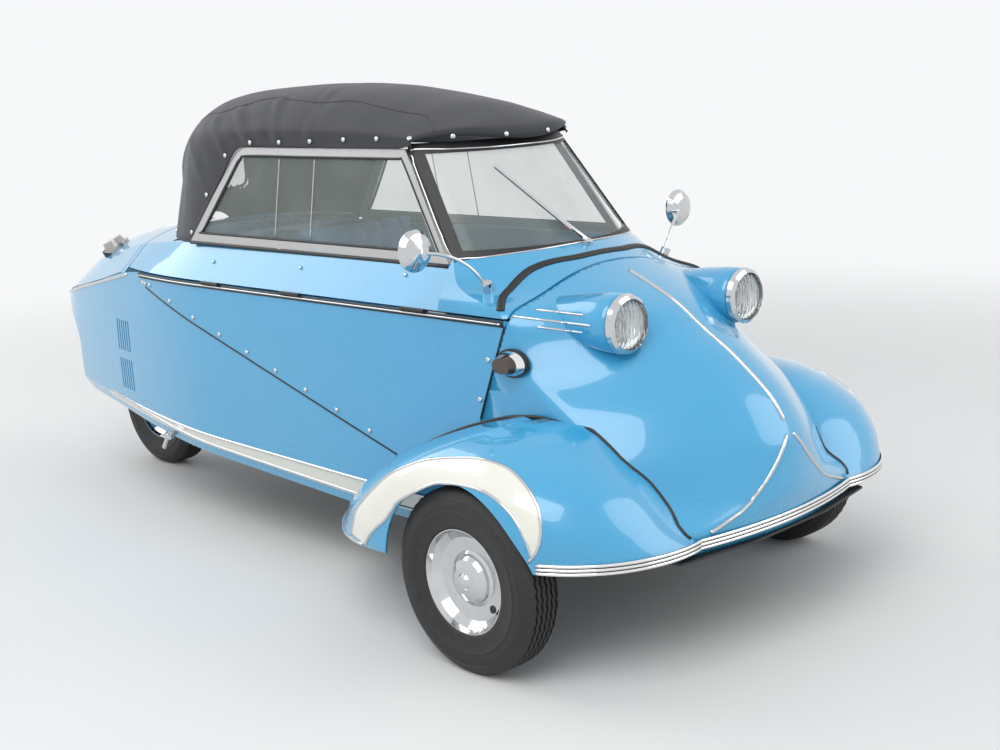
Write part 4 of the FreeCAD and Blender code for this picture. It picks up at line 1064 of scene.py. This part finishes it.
cowlStuds = vectors((-0.2121, -0.3204, 0.7532), (0.1672, -0.3190, 0.7618), (0.5594, -0.3156, 0.7708))
studs("cowl_studs", treeOf(nodes["canopy_base"]), cowlStuds, "chrome", "canopy", 0.005, 0.005)
print("stage: window trims")

# Soft top: one sheet over its bows, with its hems, seam, folds and rear window
top = {"rows": [(-700, 1040, 262, 1064, 262, 1066), (-600, 900, 285, 1070, 261, 1116),
                (-470, 860, 290, 1084, 259, 1157), (-240, 802, 301, 1096, 257.5, 1191),
                (-16, 802, 301, 1098, 257, 1202), (220, 800, 299, 1092, 256, 1197),
                (340, 796, 292, 1080, 246, 1190), (420, 792, 276, 1064, 228, 1180),
                (480, 788, 254, 1044, 196, 1169), (540, 789, 224, 1012, 166, 1151),
                (600, 793, 180, 950, 142, 1112), (640, 797, 138, 880, 112, 1035),
                (665, 801, 96, 816, 78, 880), (669, 801, 60, 806, 50, 830)],
       "front": 0.670, "corner": (0.545, 0.255), "side": -0.345, "back": -0.6685, "stations": (76, 44),
       "around": 72, "rail": 0.70, "frontHem": 1.061, "sideHem": 1.0535, "thick": 0.003,
       "hole": (0.905, 1.040, 0.112, 0.096),
       "wrinkles": [((4.1, 3.0, 5.0), 0.0026), ((11.0, 8.0, 9.0), 0.0012)],
       "folds": [((-0.09, 0.262, 1.068), (-0.24, 0.185, 1.150), 0.0075),
                 ((0.03, 0.262, 1.072), (-0.10, 0.14, 1.178), 0.006),
                 ((-0.20, 0.266, 1.045), (-0.33, 0.20, 1.130), 0.0065),
                 ((-0.30, 0.28, 0.96), (-0.43, 0.215, 1.08), 0.005),
                 ((0.16, 0.262, 1.076), (0.07, 0.10, 1.185), 0.0045)], "foldWidth": 0.013}
topAt = tableOf(top["rows"])
cornerX, cornerY = top["corner"]
lipRadius = ((top["front"] - cornerX) ** 2 + cornerY ** 2) / (2 * (top["front"] - cornerX))
baseTree = treeOf(nodes["canopy_base"])


def lipX(y):
    y = min(abs(y), cornerY)
    return top["front"] - lipRadius + math.sqrt(lipRadius ** 2 - y * y)


hem = {"header": 0.50, "blend": 0.04, "corner": (-0.1158, 0.9835, 0.07), "cornerEnd": -0.171,
       "slant": (0.803, 0.2505 / 0.195)}


def hemZ(x, skirtZ, skirtY):
    # lower edge of the cloth: the header, along the window frame, its round corner and slant, then the deck
    if x > hem["header"]:
        share = min((x - hem["header"]) / hem["blend"], 1)
        return top["sideHem"] + (top["frontHem"] - top["sideHem"]) * share
    turnX, turnZ, radius = hem["corner"]
    if x > turnX:
        return top["sideHem"]
    if x > hem["cornerEnd"]:
        return turnZ + math.sqrt(max(radius ** 2 - (x - turnX) ** 2, 0))
    if x > top["side"]:
        return hem["slant"][0] + (x - top["side"]) * hem["slant"][1]
    down = baseTree.ray_cast(Vector((x, skirtY - 0.002, 0.95)), Vector((0, 0, -1)))[0]
    return max(skirtZ, (down.z - 0.001) if down else skirtZ)


def topPoint(x, t):
    # t runs from 0 on the crown to 1 on the hem
    skirtZ, skirtY, railZ, railY, crownZ = topAt(-x)
    rail = Vector((railY, railZ))
    if t <= top["rail"]:
        count = 24
        ring = arcThrough(Vector((0, crownZ)), arcMiddle(railY, railZ, crownZ), rail, count)
        place = t / top["rail"] * count
        k = min(int(place), count - 1)
        return ring[k].lerp(ring[k + 1], place - k)
    hem = hemZ(x, skirtZ, skirtY)
    share = (railZ - hem) / max(railZ - skirtZ, 1e-6)
    low = rail.lerp(Vector((skirtY, skirtZ)), share)
    return rail.lerp(low, (t - top["rail"]) / (1 - top["rail"]))


def arcMiddle(railY, railZ, crownZ):
    # a point half way along the bow between crown and rail
    rise = max(crownZ - railZ, 1e-5)
    radius = (railY * railY + rise * rise) / (2 * rise)
    angle = math.asin(min(railY / radius, 1.0)) / 2
    if rise > railY:
        angle = (math.pi - math.asin(min(railY / radius, 1.0))) / 2
    return Vector((radius * math.sin(angle), crownZ - radius + radius * math.cos(angle)))


def topPlace(i, j):
    if i == 0:
        lip = topPlace(1, j)
        return lip + Vector((-0.003, 0, -0.007 - 0.013 * max(1 - (lip.y / cornerY) ** 2, 0)))
    i -= 1
    frontCount, backCount = top["stations"]
    if i <= frontCount:
        base = top["front"] + (top["side"] - top["front"]) * i / frontCount
    else:
        share = math.sin(math.pi / 2 * (i - frontCount) / backCount)
        base = top["side"] + (top["back"] - top["side"]) * share
    half = top["around"] // 2
    t = abs(j - half) / half
    bow = min(max((base - 0.20) / (top["front"] - 0.20), 0), 1)
    bow = bow * bow * (3 - 2 * bow)
    x = base
    for attempt in range(4):
        p = topPoint(x, t)
        x = base - bow * (top["front"] - lipX(p.x))
    p = topPoint(x, t)
    return Vector((x, p.x if j > half else -p.x, p.y))


bm = shapedGrid(sum(top["stations"]) + 1, top["around"], topPlace)
inner = [v for v in bm.verts if not v.is_boundary]
for attempt in range(2):
    bmesh.ops.smooth_vert(bm, verts=inner, factor=0.5, use_axis_x=True, use_axis_y=True, use_axis_z=True)
faceOut(bm, Vector((0, 0, 0.9)))
bm.normal_update()
for v in inner:
    lift = sum(noise.noise(Vector(c * s for c, s in zip(v.co, scale))) * height
               for scale, height in top["wrinkles"])
    for a, b, height in top["folds"]:
        start, end = Vector(a), Vector(b)
        p = Vector((v.co.x, abs(v.co.y), v.co.z))
        along = (p - start).dot(end - start) / (end - start).length_squared
        if -0.1 < along < 1.15:
            across = (p - start - (end - start) * along).length / top["foldWidth"]
            fade = max(math.sin(math.pi * min(max(along + 0.1, 0) / 1.25, 1)), 0) ** 0.6
            lift += height * fade * (math.exp(-across * across) - 0.45 * math.exp(-(across - 2.0) ** 2))
    v.co += v.normal * lift
lowZ, highZ, lowY, highY = top["hole"]


def holeY(z):
    return lowY + (highY - lowY) * (z - lowZ) / (highZ - lowZ)


holed = []
for face in bm.faces:
    c = face.calc_center_median()
    if c.x < -0.5 and lowZ < c.z < highZ and abs(c.y) < holeY(c.z):
        holed.append(face)
whole = BVHTree.FromBMesh(bm)
paneMesh = bmesh.new()
copies = {}
for face in holed:
    corners = []
    for v in face.verts:
        if v.index not in copies:
            copies[v.index] = paneMesh.verts.new(v.co - v.normal * 0.0015)
        corners.append(copies[v.index])
    paneMesh.faces.new(corners)
bmesh.ops.delete(bm, geom=holed, context="FACES")
area = sum(face.calc_area() for face in bm.faces)
uvLayer = bm.loops.layers.uv.new("UVMap")
for face in bm.faces:
    for loop in face.loops:
        p = loop.vert.co
        loop[uvLayer].uv = (p.x, math.atan2(p.y, p.z - 0.8) * 0.35)
softTop = keep(bm, "soft_top_cloth", "canvas", "canopy")
thicken(softTop, top["thick"])
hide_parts("soft_top")
pane = keep(paneMesh, "rear_pane", "rearPane", "canopy")
thicken(pane, 0.001)
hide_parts("rear_window")
print("stage: soft top area", round(area, 3), "pane faces", len(holed))
clothTree = treeOf(softTop)
binding = []
count, squareness, lap = 64, 0.35, 0.004
for k in range(count):
    # a rounded rectangle, a little larger than the hole, cast on to the cloth
    c, d = math.cos(math.tau * k / count), math.sin(math.tau * k / count)
    z = (lowZ + highZ) / 2 + ((highZ - lowZ) / 2 + lap) * math.copysign(abs(d) ** squareness, d)
    y = holeY(z) * math.copysign(abs(c) ** squareness, c)
    hit = whole.ray_cast(Vector((-1.2, y, z)), Vector((1, 0, 0)))[0]
    if hit:
        binding.append(hit)
binding.append(binding[0])
windowBinding = tube("rear_window_binding", [binding], 0.0042, "canvas", "canopy", closed=True,
                     steps=200, both=False)


def topSeat(points):
    out = []
    for p in points:
        away = (p - Vector((p.x, 0, 0.75))).normalized()
        out.append(whole.ray_cast(p + away * 0.15, -away, 0.4)[0] or whole.find_nearest(p)[0])
    return out


roofSeam = [(-0.52, -0.12, 1.12), (-0.42, -0.155, 1.14), (-0.3273, -0.178, 1.14), (-0.22, -0.163, 1.16),
            (-0.1356, -0.142, 1.175), (-0.03, -0.156, 1.167), (0.0691, -0.168, 1.16), (0.1614, -0.163, 1.158),
            (0.2237, -0.156, 1.161), (0.3186, -0.166, 1.149), (0.4173, -0.172, 1.134), (0.48, -0.168, 1.126),
            (0.52, -0.178, 1.115), (0.555, -0.205, 1.10), (0.583, -0.232, 1.072)]
seamLine = topSeat(smoothPath(vectors(*roofSeam), 60))
tube("roof_seams", [seamLine], 0.0016, "canvas", "canopy", steps=150)
snapPlaces = [(-0.0815, -0.2630, 1.0643), (0.0423, -0.2619, 1.0655), (0.1688, -0.2615, 1.0682),
              (0.2977, -0.2608, 1.0731), (0.4207, -0.2601, 1.0755), (0.535, -0.2570, 1.0741),
              (-0.196, -0.2670, 1.030), (-0.284, -0.2768, 0.925), (-0.5258, -0.2289, 0.812),
              (-0.36, -0.288, 0.822)]
studs("roof_snaps", clothTree, vectors(*snapPlaces), "chrome", "canopy", 0.0068, 0.0045)
frontSnaps = [Vector((lipX(y) - 0.001, y, 1.0745)) for y in (-0.19, -0.07, 0.07, 0.19)]
studs("front_snaps", clothTree, frontSnaps, "chrome", "canopy", 0.0068, 0.0045, both=False)
print("stage: soft top")


# Cushions swell in a short cloth run, then their channels are pressed in
cushion = {"cap": 0.014, "shrink": 0.8, "voxel": 0.008, "pressure": 4.0, "frames": 20, "fill": 0.8,
           "channels": (-0.12, -0.06, 0.0, 0.06, 0.12), "channelHalf": 0.009, "channelDeep": 0.0065}


def stuffed(node, name):
    src = bmesh.new()
    src.from_mesh(nodes[node].data)
    bmesh.ops.remove_doubles(src, verts=src.verts, dist=1e-5)
    low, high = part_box(node)
    centre = Vector([(a + b) / 2 for a, b in zip(low, high)])
    size = Vector([b - a for a, b in zip(low, high)])
    shrink = [1 - 2 * cushion["cap"] * cushion["shrink"] / s for s in size]
    bmesh.ops.translate(src, vec=-centre, verts=src.verts)
    bmesh.ops.scale(src, vec=shrink, verts=src.verts)
    bmesh.ops.translate(src, vec=centre, verts=src.verts)
    obj = keep(src, name, "seat", "body")
    remesh = obj.modifiers.new("even skin", "REMESH")
    remesh.mode = "VOXEL"
    remesh.voxel_size = cushion["voxel"]
    graph = bpy.context.evaluated_depsgraph_get()
    even = bpy.data.meshes.new_from_object(obj.evaluated_get(graph))
    obj.modifiers.clear()
    obj.data = even
    start = [v.co.copy() for v in even.vertices]
    swell = obj.modifiers.new("swell", "CLOTH")
    swell.settings.quality = 4
    swell.settings.use_pressure = True
    swell.settings.uniform_pressure_force = cushion["pressure"]
    swell.settings.effector_weights.gravity = 0.0
    swell.point_cache.frame_start = 1
    swell.point_cache.frame_end = cushion["frames"]
    for step in range(1, cushion["frames"] + 1):
        bpy.context.scene.frame_set(step)
    graph = bpy.context.evaluated_depsgraph_get()
    puffed = obj.evaluated_get(graph).to_mesh()
    ends = [v.co.copy() for v in puffed.vertices]
    obj.evaluated_get(graph).to_mesh_clear()
    obj.modifiers.clear()
    bpy.context.scene.frame_set(1)
    for v, a, b in zip(even.vertices, start, ends):
        move = b - a
        if move.length > cushion["cap"]:
            move = move.normalized() * cushion["cap"]
        v.co = a + move
    even.update()
    bm = bmesh.new()
    bm.from_mesh(even)
    bm.normal_update()
    for v in bm.verts:
        press = 0.0
        for y in cushion["channels"]:
            press += math.exp(-((v.co.y - y) / cushion["channelHalf"]) ** 2)
        v.co -= v.normal * press * cushion["channelDeep"]
    for f in bm.faces:
        f.smooth = True
    bm.to_mesh(even)
    bm.free()
    even.materials.clear()
    even.materials.append(finishes["seat"])
    soft = obj.modifiers.new("soft", "SUBSURF")
    soft.levels = 1
    soft.render_levels = 1
    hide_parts(node)
    return obj


for node, name in (("front_seat_cushion", "front_cushion"), ("front_seat_back", "front_backrest"),
                   ("rear_seat_cushion", "rear_cushion"), ("rear_seat_back", "rear_backrest")):
    made = stuffed(node, name)
    print("stage:", name, len(made.data.vertices))

# Tyres with a zig-zag tread
tyre = {"radius": 0.200, "half": 0.050, "bead": 0.1123, "grooves": 5, "pitch": 0.0135, "depth": 0.005,
        "cut": 0.0024, "steps": 216, "waves": 54, "zig": 0.0021}


def tyreProfile():
    r, w = tyre["radius"], tyre["half"]
    side = [(0.0417, tyre["bead"]), (0.0420, tyre["bead"] + 0.008), (w - 0.0035, 0.1365),
            (w - 0.0012, 0.1480), (w, 0.1500), (w - 0.0002, 0.1520), (w - 0.0014, 0.1535),
            (w - 0.0004, 0.160), (w - 0.0014, 0.1700), (w - 0.003, 0.1745), (w - 0.0018, 0.1765),
            (w - 0.004, 0.1795), (w - 0.009, 0.1895), (w - 0.0125, 0.1945)]
    face = []
    for k in range(tyre["grooves"]):
        y = (k - (tyre["grooves"] - 1) / 2) * tyre["pitch"]
        top = r - 0.0012 * (y / 0.03) ** 2
        face += [(y - tyre["cut"] - 0.0004, top), (y - tyre["cut"] + 0.0004, top - tyre["depth"]),
                 (y + tyre["cut"] - 0.0004, top - tyre["depth"]), (y + tyre["cut"] + 0.0004, top)]
    return [(-a, b) for a, b in side] + face + side[::-1]


wheels = {"front_left": (wheelX, wheelY), "front_right": (wheelX, -wheelY), "rear": (rearX, 0.0)}
for which, (wx, wy) in wheels.items():
    bm = bmesh.new()
    centre = Vector((wx, wy, wheelZ))
    turned(bm, tyreProfile(), centre, Vector((0, 1, 0)), tyre["steps"])
    for v in bm.verts:
        rel = v.co - centre
        out = math.hypot(rel.x, rel.z)
        if out > 0.192 and abs(rel.y) < 0.031:
            turnShare = math.atan2(rel.z, rel.x) / math.tau * tyre["waves"]
            v.co.y += tyre["zig"] * (4 * abs(turnShare % 1.0 - 0.5) - 1)
    bmesh.ops.recalc_face_normals(bm, faces=bm.faces)
    if sum(f.normal.dot(f.calc_center_median() - centre) for f in bm.faces) < 0:
        bmesh.ops.reverse_faces(bm, faces=bm.faces)
    made = keep(bm, "tread_tyre_" + which, "tyre", "wheel_" + which)
    made.data.set_sharp_from_angle(angle=0.6)
    thicken(made, 0.004)
    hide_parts("tyre_" + which)
print("stage: tyres")

# Valve holes in the front wheel discs, drawn as raised black discs: painted shade where the dark inside of
# each hole would be
valve = {"reach": 0.079, "radius": 0.0085, "turn": 222.0}
for which, side in (("front_right", -1), ("front_left", 1)):
    bm = bmesh.new()
    angle = math.radians(valve["turn"])
    rimTree = treeOf(nodes["rim_" + which])
    aim = Vector((wheelX - math.cos(angle) * valve["reach"], side * 0.7,
                  wheelZ + math.sin(angle) * valve["reach"]))
    hit, normal = rimTree.ray_cast(aim, Vector((0, -side, 0)))[:2]
    turned(bm, [(0.0012, 0.0), (0.0016, valve["radius"] * 0.6), (0.0010, valve["radius"]),
                (-0.001, valve["radius"])],
           hit, normal, 24)
    bmesh.ops.recalc_face_normals(bm, faces=bm.faces)
    # the black rubber disc is painted shade standing in for the opening, not a cut hole
    keep(bm, "valve_hole_" + which, "rubber", "wheel_" + which)

# Inside: the rim of the cockpit opening and its hoop
hoop = vectors((-0.345, 0.281, 0.812), (-0.42, 0.262, 0.815), (-0.49, 0.205, 0.818), (-0.525, 0.11, 0.82),
               (-0.535, 0.0, 0.82))
tube("cockpit_hoop", [bothWays(hoop)], 0.006, "aluminium", "canopy", steps=80, both=False)
guard = vectors((0.43, -0.40, 0.205), (0.47, -0.44, 0.206), (0.53, -0.50, 0.21), (0.60, -0.548, 0.216),
                (0.68, -0.58, 0.222))
guardPath = seated(fenderTree, smoothPath(guard, 20))
tube("fender_foot_guards", [guardPath], 0.004, "chrome", "body", steps=40)
print("stage: wheels and inside")

# Studio: a pale backdrop that the camera and mirrors see brighter than it lights
backdrop = tint(0.93, 0.94, 0.95)


def shownRays(tree):
    # 1 along a ray that the camera sees, straight or by gloss or glass
    rays = tree.nodes.new("ShaderNodeLightPath")
    either = rays.outputs["Is Camera Ray"]
    for kind in ("Is Glossy Ray", "Is Transmission Ray"):
        step = tree.nodes.new("ShaderNodeMath")
        step.operation = "MAXIMUM"
        tree.links.new(either, step.inputs[0])
        tree.links.new(rays.outputs[kind], step.inputs[1])
        either = step.outputs[0]
    return either


floorMat = Finish("studio floor", Roughness=0.75)
floorTints = (tint(0.78, 0.78, 0.77), tint(0.74, 0.74, 0.735))
floorMat.put("Base Color", floorMat.mix(floorMat.noise(1.5, 4.0), *floorTints))
floorMat.bump(floorMat.noise(60.0, 4.0), 0.0006, 0.2)
# far from the car the floor fades into the backdrop
far = floorMat.add("ShaderNodeVectorMath", {"operation": "LENGTH"}, {0: floorMat.place()}, "Value")
share = Val(floorMat, shownRays(floorMat.tree)) * far.soft(1.9, 5.5)
glow = floorMat.add("ShaderNodeEmission", {}, {0: backdrop})
lit = Val(floorMat, floorMat.shader.outputs[0])
blend = floorMat.add("ShaderNodeMixShader", {}, {0: share, 1: lit, 2: glow})
floorOut = next(n for n in floorMat.tree.nodes if n.type == "OUTPUT_MATERIAL")
floorMat.tree.links.new(blend.socket, floorOut.inputs[0])
bm = bmesh.new()
bmesh.ops.create_grid(bm, x_segments=8, y_segments=8, size=30.0)
mesh = bpy.data.meshes.new("studio floor")
bm.to_mesh(mesh)
bm.free()
mesh.materials.append(floorMat.data)
floor = bpy.data.objects.new("studio_floor", mesh)
bpy.context.collection.objects.link(floor)

world = bpy.data.worlds.new("studio")
bpy.context.scene.world = world
world.use_nodes = True
tree = world.node_tree
lit = tree.nodes["Background"]
lit.inputs[0].default_value = tint(0.90, 0.93, 0.96)
lit.inputs[1].default_value = 0.58
shown = tree.nodes.new("ShaderNodeBackground")
shown.inputs[0].default_value = backdrop
choose = tree.nodes.new("ShaderNodeMixShader")
tree.links.new(shownRays(tree), choose.inputs[0])
tree.links.new(lit.outputs[0], choose.inputs[1])
tree.links.new(shown.outputs[0], choose.inputs[2])
tree.links.new(choose.outputs[0], tree.nodes["World Output"].inputs[0])

lamps = {"key": {"place": (2.4, -4.0, 5.0), "size": 5.0, "power": 205.0},
         "fill": {"place": (4.6, 2.6, 3.0), "size": 4.2, "power": 80.0},
         "back": {"place": (-4.0, -1.5, 3.6), "size": 4.0, "power": 90.0}}
for name, lamp in lamps.items():
    light = bpy.data.lights.new(name, "AREA")
    light.shape = "DISK"
    light.size = lamp["size"]
    light.energy = lamp["power"]
    obj = bpy.data.objects.new(name + "_lamp", light)
    obj.location = lamp["place"]
    obj.rotation_euler = (Vector((0, 0, 0.6)) - Vector(lamp["place"])).to_track_quat("-Z", "Y").to_euler()
    bpy.context.collection.objects.link(obj)

# Camera
yaw, pitch, roll = (math.radians(shot[k]) for k in ("yaw", "pitch", "roll"))
ahead = Vector((math.cos(yaw) * math.cos(pitch), math.sin(yaw) * math.cos(pitch), math.sin(pitch)))
right = Vector((math.sin(yaw), -math.cos(yaw), 0))
down = ahead.cross(right)
turnedRight = right * math.cos(roll) + down * math.sin(roll)
turnedDown = down * math.cos(roll) - right * math.sin(roll)
camera = bpy.data.cameras.new("camera")
camera.lens = shot["lens"]
camera.sensor_width = shot["sensor"]
cameraObj = bpy.data.objects.new("camera", camera)
cameraObj.matrix_world = Matrix((turnedRight, -turnedDown, -ahead)).transposed().to_4x4()
cameraObj.location = shot["place"]
bpy.context.collection.objects.link(cameraObj)
bpy.context.scene.camera = cameraObj
bpy.context.scene.view_settings.view_transform = "Standard"
print("stage: studio and camera")
